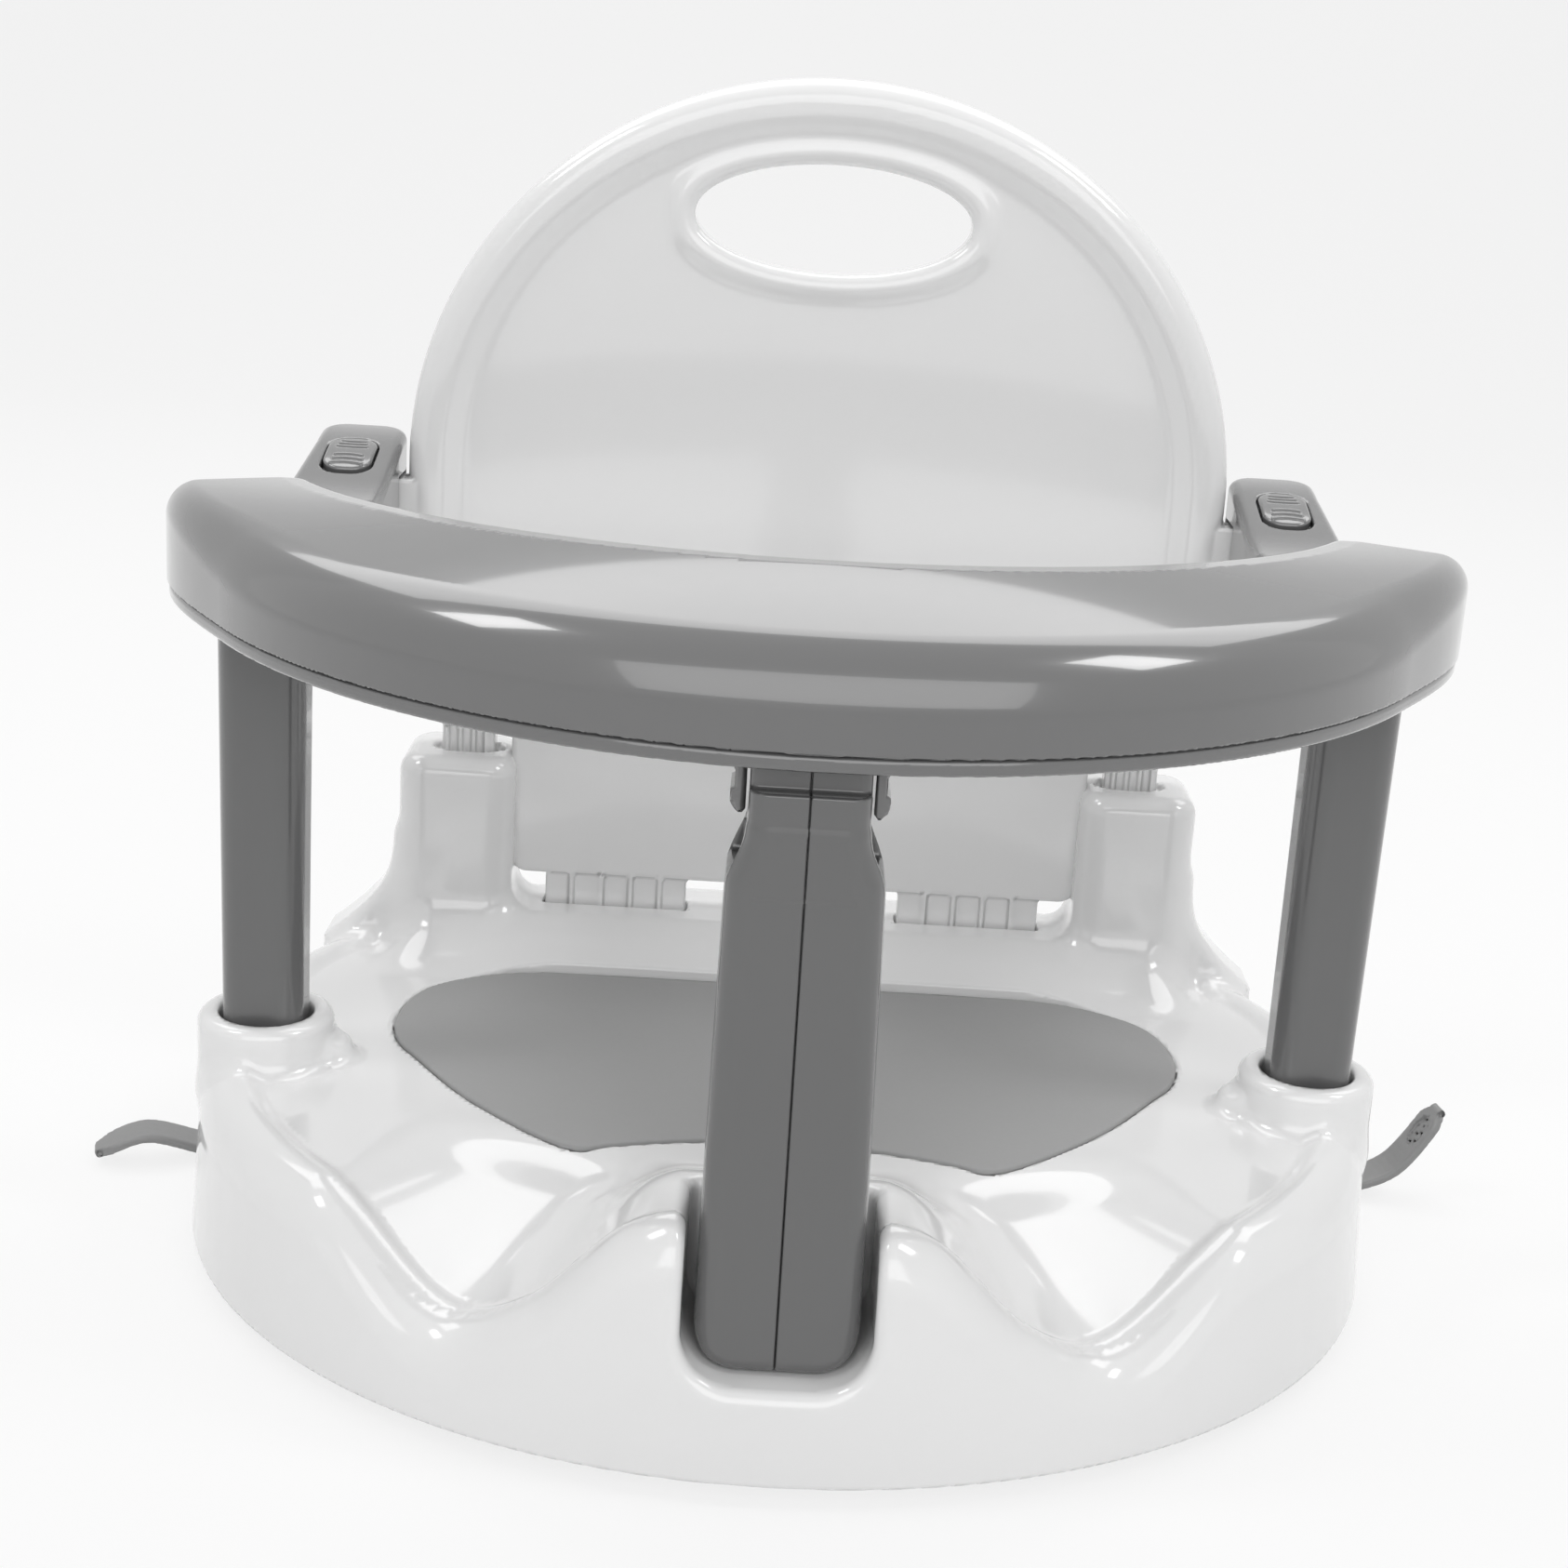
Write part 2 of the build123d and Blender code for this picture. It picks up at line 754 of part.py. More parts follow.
def make_screws(places, way, shank, head_length):
    """Group of equal screws: each place is the underside middle of a head, way points tipwards."""
    with BuildPart() as screws:
        for place in places:
            with BuildSketch(Plane(origin=place, z_dir=way)):
                Circle(screw_shank)
            extrude(amount=shank)
            with BuildSketch(Plane(origin=place, z_dir=way)):
                Circle(screw_head)
                RegularPolygon(screw_head * 0.45, 6, mode=Mode.SUBTRACT)
            extrude(amount=-head_length)
            with BuildSketch(Plane(origin=place, z_dir=way)):
                Circle(screw_head)
            extrude(amount=-head_length / 2)
    return screws.part


def bar_plan(height, front_radius, front_y, corners, inset, tilt=0):
    """Crescent of the guard bar, cut straight at both ends."""
    pivot = bar_inner_y - bar_inner_radius
    level = Plane(
        origin=(0, pivot, height), x_dir=(1, 0, 0), z_dir=(0, sin(radians(tilt)), cos(radians(tilt)))
    )
    with BuildSketch(level) as plan:
        with Locations((0, front_y - pivot)):
            Circle(front_radius - inset)
        with Locations((0, bar_inner_y - pivot)):
            Circle(bar_inner_radius + inset, mode=Mode.SUBTRACT)
        with Locations((0, bar_end_y - inset - pivot - bar_outer_radius)):
            Rectangle(3 * bar_outer_radius, 2 * bar_outer_radius, mode=Mode.INTERSECT)
        outer, inner = corners
        ends = plan.vertices().sort_by(lambda v: abs(v.X))
        fillet(ends[2:], max(1.0, outer - inset))
        ends = plan.vertices().filter_by(lambda v: v.Y > bar_end_y - inset - 0.01)
        fillet(ends.sort_by(lambda v: abs(v.X))[:2], max(1.0, inner - inset))
    return plan.sketch


def bar_body(inset, bottom):
    """Closed form of the guard bar: upright front that rolls over into a slope up to the crest."""
    corners = (bar_outer_corner, bar_inner_corner)
    with BuildPart() as body:
        sections = [bar_plan(bottom, bar_outer_radius, bar_outer_y, corners, inset)]
        for height, radius, middle, corner in bar_roll[:: 1 if inset == 0 else 3]:
            sections.append(
                bar_plan(height - inset, radius, middle, (corner, bar_inner_corner), inset)
            )
        crest = (bar_crest_corner, bar_crest_corner)
        for rise, step in bar_crest_roll if inset == 0 else [(0.0, 0.0)]:
            height = bar_top - inset + rise
            sections.append(
                bar_plan(
                    height, bar_crest_radius, bar_crest_y, crest, inset + step, bar_top_tilt
                )
            )
        loft(sections, ruled=True)
    return body.part


def bar_screw_places():
    """Screws of the bar's cover, along the middle of the crescent."""
    radius = (bar_outer_radius + bar_inner_radius) / 2
    middle = (bar_outer_y + bar_inner_y) / 2
    places = []
    for x in bar_screw_x:
        y = middle - sqrt(radius**2 - x**2)
        places += [(-x, y), (x, y)]
    return places


def make_bar_top_shell():
    """Guard bar's upper moulding, open below, with bosses for the cover's screws."""
    with BuildPart() as room:
        add(bar_body(bar_wall, bar_bottom + cover_thickness - 1))
        with BuildSketch(Plane.XY.offset(bar_bottom + cover_thickness)):
            with Locations(bar_screw_places()):
                Circle(boss_round)
        extrude(amount=bar_top - bar_bottom, mode=Mode.SUBTRACT)
    with BuildPart() as bar_top_shell:
        add(bar_body(0, bar_bottom + cover_thickness))
        add(room.part, mode=Mode.SUBTRACT)
        with BuildSketch(Plane.XY.offset(bar_bottom + cover_thickness)):
            with Locations(bar_screw_places()):
                Circle(screw_shank + screw_fit)
        extrude(amount=bar_boss - bar_wall, mode=Mode.SUBTRACT)
        # Windows of the arms' tongues
        for side in SIDES.values():
            with BuildSketch(Plane.XZ.offset(-bar_end_y - 1)):
                with Locations((side * tongue_x, (tongue_bottom + tongue_top) / 2)):
                    Rectangle(
                        tongue_width + 2 * slide_fit, tongue_top - tongue_bottom + 2 * slide_fit
                    )
            extrude(amount=tongue_length, mode=Mode.SUBTRACT)
    return bar_top_shell


def make_bar_bottom_cover():
    """Guard bar's underside with the opening for the centre post and its two clips."""
    corners = (bar_outer_corner, bar_inner_corner)
    middle = post_front_y + post_depth / 2
    with BuildPart() as bar_bottom_cover:
        extrude(
            bar_plan(bar_bottom, bar_outer_radius, bar_outer_y, corners, cover_inset),
            amount=cover_thickness,
        )
        lower_rim = bar_bottom_cover.edges().group_by(Axis.Z)[0]
        chamfer(lower_rim, cover_inset)
        with BuildSketch(Plane.XY.offset(bar_bottom)):
            with Locations((0, middle)):
                Rectangle(
                    2 * (neck_half + slide_fit), post_depth - 2 * neck_inset + 4 * slide_fit / 3
                )
            with Locations((-post_x, post_y), (post_x, post_y)):
                Rectangle(spigot_width + 2 * screw_fit, spigot_depth + 2 * screw_fit)
        extrude(amount=cover_thickness, mode=Mode.SUBTRACT)
        with BuildSketch(Plane.XY.offset(bar_bottom)):
            with Locations(bar_screw_places()):
                Circle(screw_shank + screw_fit)
        extrude(amount=cover_thickness, mode=Mode.SUBTRACT)
        with BuildSketch(Plane.XY.offset(bar_bottom)):
            with Locations(bar_screw_places()):
                Circle(screw_head + screw_fit)
        extrude(amount=head_recess, mode=Mode.SUBTRACT)
        # Snap clips: a straight leg with a step and a lead-in on its outer side
        for side in SIDES.values():
            inner = clip_start
            outer = clip_start + clip_thickness
            low = bar_bottom - clip_length
            with BuildSketch(Plane.XZ.offset(-middle - clip_depth / 2)):
                with BuildLine():
                    Polyline(
                        (side * inner, bar_bottom + 1),
                        (side * inner, low),
                        (side * (outer - 1.6), low),
                        (side * outer, low + 2.4),
                        (side * outer, low + 5),
                        (side * (outer - clip_step), low + 5.6),
                        (side * (outer - clip_step), bar_bottom - 3),
                        (side * (outer + 1.2), bar_bottom),
                        (side * (outer + 1.2), bar_bottom + 1),
                        close=True,
                    )
                make_face()
            extrude(amount=clip_depth)
    return bar_bottom_cover


def make_side_post(side):
    """Side post: hollow moulding, straight in its socket, a little wider towards the bar."""
    straight = collar_height + 2 * seat_gap
    grow = side_post_taper
    with BuildPart() as post:
        with BuildSketch(Plane.XY.offset(side_post_foot)):
            RectangleRounded(side_post_width, side_post_depth, side_post_round)
        extrude(amount=straight - side_post_foot)
        with BuildSketch(Plane.XY.offset(straight)):
            RectangleRounded(side_post_width, side_post_depth, side_post_round)
        with BuildSketch(Plane.XY.offset(bar_bottom)):
            RectangleRounded(
                side_post_width + 2 * grow, side_post_depth + 2 * grow, side_post_round
            )
        loft()
        with BuildSketch(Plane.XY.offset(bar_bottom)):
            Rectangle(spigot_width, spigot_depth)
        extrude(amount=spigot_length)
        foot_rim = post.edges().group_by(Axis.Z)[0]
        chamfer(foot_rim, 1)
        with BuildSketch(Plane.XY.offset(side_post_foot)):
            RectangleRounded(
                side_post_width - 2 * post_wall,
                side_post_depth - 2 * post_wall,
                side_post_round - post_wall,
            )
        extrude(amount=bar_bottom - side_post_foot - post_wall, mode=Mode.SUBTRACT)
    return post.part.moved(Location((side * post_x, post_y, 0)))


def arm_plan(height, side, inset):
    """Plan of an arm: it leans inwards and narrows towards its rear cap."""
    with BuildSketch(Plane.XY.offset(height)) as plan:
        with BuildLine():
            Polyline(
                (side * (arm_front_outer - inset), bar_end_y + inset),
                (side * (arm_waist_outer - inset), arm_waist_y),
                (side * (arm_rear_outer - inset), arm_cap_y),
                (side * (arm_rear_outer - inset), arm_rear_y - inset),
                (side * (arm_rear_inner + inset), arm_rear_y - inset),
                (side * (arm_rear_inner + inset), arm_waist_y),
                (side * (arm_front_inner + inset), bar_end_y + inset),
                close=True,
            )
        make_face()
        rear = plan.vertices().group_by(Axis.Y)[-1]
        fillet(rear, arm_corner - inset)
        bends = plan.vertices().filter_by(
            lambda v: abs(v.Y - arm_waist_y) < 0.1 or abs(v.Y - arm_cap_y) < 0.1
        )
        fillet(bends, arm_bend)
    return plan.sketch


def arm_side(inset):
    """Height of an arm seen from the side: level, then rising to the cap at cap_slope."""
    rise = tan(radians(cap_slope))
    start = cap_crest_y - (cap_top - arm_low_top) / rise
    low = arm_bottom - 5
    with BuildSketch(Plane.YZ.offset(-bar_outer_radius)) as face:
        with BuildLine():
            Polyline(
                (bar_end_y - 5, low),
                (bar_end_y - 5, arm_low_top - inset),
                (start, arm_low_top - inset),
                (cap_crest_y, cap_top - inset),
                (arm_rear_y + 5, cap_top - inset),
                (arm_rear_y + 5, low),
                close=True,
            )
        make_face()
        bend = face.vertices().filter_by(lambda v: abs(v.X - start) < 0.1)
        fillet(bend, arm_bend)
        crest = face.vertices().filter_by(lambda v: abs(v.X - cap_crest_y) < 0.1)
        fillet(crest, arm_bend)
    return face.sketch


def arm_solid(side, inset, bottom):
    """Closed form of an arm."""
    with BuildPart() as body:
        extrude(arm_plan(bottom, side, inset), amount=cap_top - bottom + 5)
        extrude(arm_side(inset), amount=2 * bar_outer_radius, mode=Mode.INTERSECT)
    return body.part


def button_plane(side, along=0.0, above=0.0):
    """Plane on the sloping skin of the cap, its Y running up the slope."""
    lean = radians(cap_slope)
    skin = cap_top - (cap_crest_y - button_y) * tan(lean)
    normal = Vector(0, -sin(lean), cos(lean))
    uphill = Vector(0, cos(lean), sin(lean))
    spot = Vector(side * button_x, button_y, skin) + uphill * along + normal * above
    return Plane(origin=spot, x_dir=(1, 0, 0), z_dir=normal)


def make_arm_shell(side):
    """Arm's upper moulding with its tongue, button window, keeper mouth and screw bosses."""
    bottom = arm_bottom + arm_cover
    with BuildPart() as room:
        add(arm_solid(side, arm_wall, bottom - 1))
        with BuildSketch(Plane.XY.offset(bottom)):
            with Locations(arm_screw_places(side)):
                Circle(boss_round - 0.4)
        extrude(amount=cap_top - bottom, mode=Mode.SUBTRACT)
    with BuildPart() as arm:
        add(arm_solid(side, 0, bottom))
        top_rim = arm.edges().filter_by(
            lambda e: e.bounding_box().min.Z > arm_low_top - 0.1
            and (e.bounding_box().size.Y > 0.1 or e.center().Y > cap_crest_y)
        )
        fillet(top_rim, arm_top_round)
        add(room.part, mode=Mode.SUBTRACT)
        with BuildSketch(Plane.XY.offset(bottom)):
            with Locations(arm_screw_places(side)):
                Circle(screw_shank + screw_fit)
        extrude(amount=arm_boss - 1, mode=Mode.SUBTRACT)
        # Tongue into the end of the bar
        with BuildSketch(Plane.XZ.offset(-bar_end_y - arm_wall)):
            with Locations((side * tongue_x, (tongue_bottom + tongue_top) / 2)):
                Rectangle(tongue_width, tongue_top - tongue_bottom)
        extrude(amount=tongue_length + arm_wall)
        # Window for the button, longer than it by its travel
        with BuildSketch(button_plane(side, -button_travel / 2, 5)):
            RectangleRounded(
                button_width + 2 * button_gap,
                button_length + button_travel + 2 * button_gap,
                button_corner,
            )
        extrude(amount=-5 - 2 * arm_wall, mode=Mode.SUBTRACT)
        # Mouth for the backrest's keeper
        add(keeper_room(side, slide_fit + keeper_gap), mode=Mode.SUBTRACT)
    return arm.part


def keeper_room(side, gap):
    """Block around the backrest's keeper, open below."""
    inner = back_half - 5
    outer = back_half + keeper_reach + gap
    with BuildPart() as room:
        with BuildSketch(Plane.XY.offset(arm_bottom - 1)):
            with Locations((side * (inner + outer) / 2, back_y)):
                Rectangle(outer - inner, keeper_depth + 2 * gap)
        extrude(amount=keeper_bottom + keeper_height + gap - arm_bottom + 1)
    return room.part


def arm_screw_places(side):
    """Screws between an arm's shell and its cover."""
    return [(side * x, y) for x, y in arm_screws_at]


def make_arm_cover(side):
    """Closing plate under an arm."""
    with BuildPart() as cover:
        extrude(arm_plan(arm_bottom, side, cover_inset / 2), amount=arm_cover)
        add(keeper_room(side, slide_fit + keeper_gap), mode=Mode.SUBTRACT)
        with BuildSketch(Plane.XY.offset(arm_bottom)):
            with Locations(arm_screw_places(side)):
                Circle(screw_shank + screw_fit)
        extrude(amount=arm_cover, mode=Mode.SUBTRACT)
        with BuildSketch(Plane.XY.offset(arm_bottom)):
            with Locations(arm_screw_places(side)):
                Circle(screw_head + screw_fit)
        extrude(amount=arm_cover / 2, mode=Mode.SUBTRACT)
    return cover.part


def make_release_button(side):
    """Sliding button: ridged cap, retaining flange and a stem down to its bolt."""
    under = -arm_wall - button_gap
    with BuildPart() as button:
        with BuildSketch(button_plane(side, 0, under - button_skirt)):
            RectangleRounded(button_width, button_length, button_corner - button_gap)
        extrude(amount=button_proud - under + button_skirt)
        fillet(button.faces().sort_by(Axis.Z)[-1].edges(), button_proud * 0.8)
        with BuildSketch(button_plane(side, 0, under - button_skirt)):
            RectangleRounded(
                button_width + 2 * button_skirt, button_length + 2 * button_skirt, button_corner
            )
        extrude(amount=button_skirt)
        # Finger ridges
        with BuildSketch(button_plane(side, 0, button_proud)):
            with Locations([(0, y) for y in ridge_rows]):
                SlotOverall(button_width - 5, ridge_width)
        extrude(amount=ridge_height)
        # Stem
        with BuildSketch(Plane.XY.offset(bolt_bottom + bolt_height)):
            with Locations((side * button_x, (bolt_front + bolt_back) / 2)):
                Rectangle(2 * bolt_width, bolt_back - bolt_front)
        extrude(amount=stem_height)
    return button.part


def make_latch_bolt(side):
    """Bolt under the button: a bar with a nose that stands in the keeper's groove."""
    inner = keeper_groove_x - bolt_width / 2
    with BuildPart() as bolt:
        with BuildSketch(Plane.XY.offset(bolt_bottom)):
            with Locations((side * (inner + bolt_end) / 2, (bolt_front + bolt_back) / 2)):
                Rectangle(bolt_end - inner, bolt_back - bolt_front)
            with Locations((side * keeper_groove_x, (bolt_back + bolt_reach) / 2)):
                Rectangle(bolt_width, bolt_reach - bolt_back + 0.2)
        extrude(amount=bolt_height)
        fillet(bolt.edges().filter_by(Axis.Z), 0.6)
    return bolt.part


def make_button_spring(side):
    """Return spring in front of the bolt, drawn at its pressed length."""
    start = Vector(side * spring_x, bolt_front - spring_wire, bolt_bottom + bolt_height / 2)
    pitch = spring_length / spring_turns
    with BuildPart() as spring:
        with BuildLine() as path:
            Helix(pitch, spring_length, spring_radius, direction=(0, -1, 0))
        with BuildSketch(Plane(origin=path.line @ 0, z_dir=path.line % 0)):
            Circle(spring_wire / 2)
        sweep(path=path.line, is_frenet=True)
    return spring.part.moved(Location(start))


def back_outline(inset, low):
    """Front outline of the backrest above a level: straight flanks under a round dome."""
    half = back_half - inset
    top = dome_top - inset
    bottom = low + inset
    with BuildSketch(Plane.XZ.offset(-back_y - back_thickness / 2)) as face:
        with BuildLine():
            Polyline((-half, dome_start), (-half, bottom), (half, bottom), (half, dome_start))
            EllipticalCenterArc(
                (0, dome_start), half, top - dome_start, start_angle=0, arc_size=180
            )
        make_face()
        fillet(face.vertices().group_by(Axis.Y)[0], back_shoulder_round - inset)
    return face.sketch


def peg_outline_at(grow):
    """Both pegs' sections at their places."""
    with BuildSketch() as plan:
        for side in SIDES.values():
            add(peg_outline(grow).moved(Location((side * peg_x, back_y, 0))))
    return plan.sketch


def make_backrest_panel():
    """Backrest: domed panel with a handle hole, a lower tongue, ribbed pegs and tabs, keepers."""
    front = back_y - back_thickness / 2
    rear = back_y + back_thickness / 2
    tongue_front = front + back_wall
    field = front + panel_recess
    tab_middle = (tab_inner_x + tab_outer_x) / 2
    tab_span = tab_outer_x - tab_inner_x
    with BuildPart() as panel:
        extrude(back_outline(0, shoulder_height), amount=back_thickness)
        fillet(panel.faces().sort_by(Axis.Y)[0].edges(), back_edge_round)
        # Sunken field inside the border
        low = shoulder_height - 2 * panel_inset
        loft(
            [
                back_outline(panel_inset, low).moved(Location((0, front - rear, 0))),
                back_outline(panel_inset + 2, low - 2).moved(Location((0, field - rear, 0))),
            ],
            mode=Mode.SUBTRACT,
        )
        # Tongue between the towers
        with BuildSketch(Plane.XZ.offset(-rear)) as tongue:
            with Locations((0, (tongue_height + shoulder_height + back_shoulder_round) / 2)):
                Rectangle(2 * tongue_half, shoulder_height + back_shoulder_round - tongue_height)
            fillet(tongue.vertices().group_by(Axis.Y)[0], tongue_corner)
        extrude(amount=rear - tongue_front)
        # Hollow back
        hollow_front = field + back_wall
        extrude(
            back_outline(back_wall, shoulder_height),
            amount=rear - hollow_front,
            mode=Mode.SUBTRACT,
        )
        with BuildSketch(Plane.XZ.offset(-rear)):
            with Locations((0, (tongue_height + shoulder_height) / 2 + 2 * back_wall)):
                Rectangle(
                    2 * (tongue_half - back_wall),
                    shoulder_height - tongue_height + 2 * back_wall,
                )
        extrude(amount=rear - hollow_front, mode=Mode.SUBTRACT)
        # Stiffening ribs
        with BuildSketch(Plane.XZ.offset(-rear + 1)):
            with Locations([(x, (tongue_height + handle_z) / 2) for x in back_rib_x]):
                Rectangle(rib_thickness, handle_z - tongue_height - handle_height)
            with Locations([(0, z) for z in back_rib_z]):
                Rectangle(2 * (back_half - back_wall), rib_thickness)
        extrude(amount=rear - hollow_front - 1)
        # Handle hole with its sleeve and rolled lip
        with BuildSketch(Plane.XZ.offset(-rear)):
            with Locations((0, handle_z)):
                Ellipse(handle_width / 2 + back_wall, handle_height / 2 + back_wall)
        extrude(amount=rear - field)
        with BuildSketch(Plane.XZ.offset(-field)):
            with Locations((0, handle_z)):
                Ellipse(handle_width / 2 + handle_lip, handle_height / 2 + handle_lip)
        extrude(amount=handle_lip_rise)
        with BuildSketch(Plane.XZ.offset(-rear)):
            with Locations((0, handle_z)):
                Ellipse(handle_width / 2, handle_height / 2)
        extrude(amount=back_thickness, mode=Mode.SUBTRACT)
        lip_face = panel.faces().filter_by(
            lambda f: abs(f.center().Y - field + handle_lip_rise) < 0.01
            and abs(f.center().Z - handle_z) < 1
        )
        fillet(lip_face[0].edges(), handle_lip_rise * 0.8)
        # Ribbed pegs for the towers
        extrude(
            peg_outline_at(0).moved(Location((0, 0, shoulder_height - peg_length))),
            amount=peg_length + back_wall,
        )
        # Ribbed tabs for the ledge
        for side in SIDES.values():
            with BuildSketch(Plane.XY.offset(tongue_height - tab_length)):
                with Locations((side * tab_middle, back_y)):
                    Rectangle(tab_span, tab_depth)
                    count = int(tab_span / rib_pitch)
                    with GridLocations(rib_pitch, 0, count, 1):
                        Rectangle(rib_width, tab_depth + 2 * peg_rib)
            extrude(amount=tab_length + back_wall)
            # Keeper for the guard's bolt
            flank = side * (back_half + keeper_reach / 2 - 1)
            with BuildSketch(Plane.XY.offset(keeper_bottom)):
                with Locations((flank, back_y)):
                    Rectangle(keeper_reach + 2, keeper_depth)
                with Locations((side * keeper_groove_x, back_y - keeper_depth / 2)):
                    Rectangle(keeper_groove_width, 2 * keeper_groove, mode=Mode.SUBTRACT)
            extrude(amount=keeper_height)
    return panel.part


def foot_screw_places():
    """Screws that hold the centre post from below."""
    middle = post_front_y + post_depth / 2
    return [(-foot_screw_x, middle), (foot_screw_x, middle)]


def make_post_screws():
    """Screws across the centre post."""
    middle = post_front_y + post_depth / 2
    places = [(post_head_seat, middle, height) for height in post_screw_heights]
    return make_screws(places, (-1, 0, 0), post_head_seat + post_screw_reach - 1, screw_head_high)


def make_foot_screws():
    """Screws from under the pocket floor into the centre post."""
    seat = foot_height - slide_fit - wall
    places = [(x, y, seat) for x, y in foot_screw_places()]
    return make_screws(places, (0, 0, 1), wall + foot_boss - 1, screw_head_high)


def make_bar_screws():
    """Screws from below through the guard bar's cover."""
    seat = bar_bottom + head_recess
    places = [(x, y, seat) for x, y in bar_screw_places()]
    length = cover_thickness - head_recess + bar_boss - bar_wall - 1
    return make_screws(places, (0, 0, 1), length, screw_head_high)


def make_arm_screws():
    """Screws from below through the arms' covers."""
    seat = arm_bottom + arm_cover / 2
    places = [(x, y, seat) for side in SIDES.values() for x, y in arm_screw_places(side)]
    return make_screws(places, (0, 0, 1), arm_cover / 2 + arm_boss - 2, arm_cover / 2)


def save(name, solid):
    """Write one labelled piece."""
    solid.label = name
    export_step(solid, f"parts/{name}.step")


def main():
    os.makedirs("parts", exist_ok=True)
    save("base_shell", make_base_shell().part)
    save("seat_mat", make_seat_mat().part)
    for name, x, y in cup_places():
        route = tab_route(x, y, TAB_SHAPES[name])
        save(f"suction_cup_{name}", make_suction_cup(x, y, route))
    save("center_post_screws", make_post_screws())
    save("post_foot_screws", make_foot_screws())
    save("backrest_panel", make_backrest_panel())
    save("bar_top_shell", make_bar_top_shell().part)
    save("bar_bottom_cover", make_bar_bottom_cover().part)
    save("bar_screws", make_bar_screws())
    save("arm_screws", make_arm_screws())
    for name, side in SIDES.items():
        save(f"center_post_{name}_half", make_post_half(side))
        save(f"side_post_{name}", make_side_post(side))
        save(f"arm_shell_{name}", make_arm_shell(side))
        save(f"arm_cover_{name}", make_arm_cover(side))
        save(f"release_button_{name}", make_release_button(side))
        save(f"latch_bolt_{name}", make_latch_bolt(side))
        save(f"button_spring_{name}", make_button_spring(side))


if __name__ == "__main__":
    main()
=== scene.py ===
"""Looks of the baby bath seat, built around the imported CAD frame.

Lengths are millimetres unless a comment says otherwise. A field is a distance that is below zero
inside its piece. Left is the side of negative x, and the front is the side of negative y.
"""

import json
from math import cos, pi, radians, sin, sqrt, tan

import bpy
import numpy as np
from mathutils import Matrix, Vector


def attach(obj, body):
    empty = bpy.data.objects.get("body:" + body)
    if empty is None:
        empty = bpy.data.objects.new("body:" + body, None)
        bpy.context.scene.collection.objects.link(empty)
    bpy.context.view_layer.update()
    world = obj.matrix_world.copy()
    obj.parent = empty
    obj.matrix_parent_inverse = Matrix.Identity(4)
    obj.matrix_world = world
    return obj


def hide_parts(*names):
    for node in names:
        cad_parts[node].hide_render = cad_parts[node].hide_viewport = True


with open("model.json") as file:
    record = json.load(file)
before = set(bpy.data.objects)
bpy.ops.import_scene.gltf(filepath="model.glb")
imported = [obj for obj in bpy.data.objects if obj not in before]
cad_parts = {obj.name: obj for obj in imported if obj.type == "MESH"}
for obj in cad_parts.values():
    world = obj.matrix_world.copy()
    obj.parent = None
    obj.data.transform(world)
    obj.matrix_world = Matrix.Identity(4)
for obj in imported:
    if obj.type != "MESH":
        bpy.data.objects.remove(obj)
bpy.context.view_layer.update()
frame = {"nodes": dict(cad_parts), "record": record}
MM = 0.001
FINE = 1.0
TINY = 1e-9
FAR = 1e18

# Camera of the photograph, with its angles in degrees
CAMERA_AT = (-9.9, -656.5, 338.8)
PITCH, TURN, ROLL = 17.0, -0.4, 3.5
FOCAL_PX, FRAME_PX = 2700.0, 1686.0
SENSOR = 36.0
CLIP_NEAR_M, CLIP_FAR_M = 0.05, 30


def put_camera():
    turn, pitch, roll = radians(TURN), radians(PITCH), radians(ROLL)
    forward = Vector((-sin(turn) * cos(pitch), cos(turn) * cos(pitch), -sin(pitch)))
    level = Vector((cos(turn), sin(turn), 0))
    upright = level.cross(forward)
    right = level * cos(roll) + upright * sin(roll)
    up = -level * sin(roll) + upright * cos(roll)
    data = bpy.data.cameras.new("camera")
    data.sensor_width = SENSOR
    data.lens = SENSOR * FOCAL_PX / FRAME_PX
    data.clip_start, data.clip_end = CLIP_NEAR_M, CLIP_FAR_M
    cam = bpy.data.objects.new("camera", data)
    cam.matrix_world = Matrix(
        (
            (right.x, up.x, -forward.x, CAMERA_AT[0] * MM),
            (right.y, up.y, -forward.y, CAMERA_AT[1] * MM),
            (right.z, up.z, -forward.z, CAMERA_AT[2] * MM),
            (0, 0, 0, 1),
        )
    )
    bpy.context.scene.collection.objects.link(cam)
    bpy.context.scene.camera = cam


put_camera()
bpy.context.scene.view_settings.view_transform = "Standard"


# Field helpers


def step01(low, high, value):
    """Smooth step from nought at low to one at high."""
    t = np.clip((value - low) / (high - low), 0, 1)
    return t * t * (3 - 2 * t)


def both(a, b, r=0.0):
    """Intersection with a round edge of radius r."""
    if np.all(np.asarray(r) <= 0):
        return np.maximum(a, b)
    u, v = np.maximum(a + r, 0), np.maximum(b + r, 0)
    return np.minimum(np.maximum(a, b), -r) + np.sqrt(u * u + v * v)


def either(a, b, r=0.0):
    """Union with a round inner corner of radius r."""
    return -both(-a, -b, r)


def cut(a, b, r=0.0):
    """a without b, with a round edge of radius r."""
    return both(a, -b, r)


def soft(a, b, k):
    """Smooth union over the width k."""
    h = np.maximum(k - np.abs(a - b), 0) / k
    return np.minimum(a, b) - h * h * k / 4


def rect(x, y, hx, hy, r=0.0):
    """Rectangle of half sizes hx and hy with corners of radius r."""
    u, v = np.abs(x) - hx + r, np.abs(y) - hy + r
    return np.minimum(np.maximum(u, v), 0) + np.hypot(np.maximum(u, 0), np.maximum(v, 0)) - r


def slab(z, low, high):
    return np.maximum(low - z, z - high)


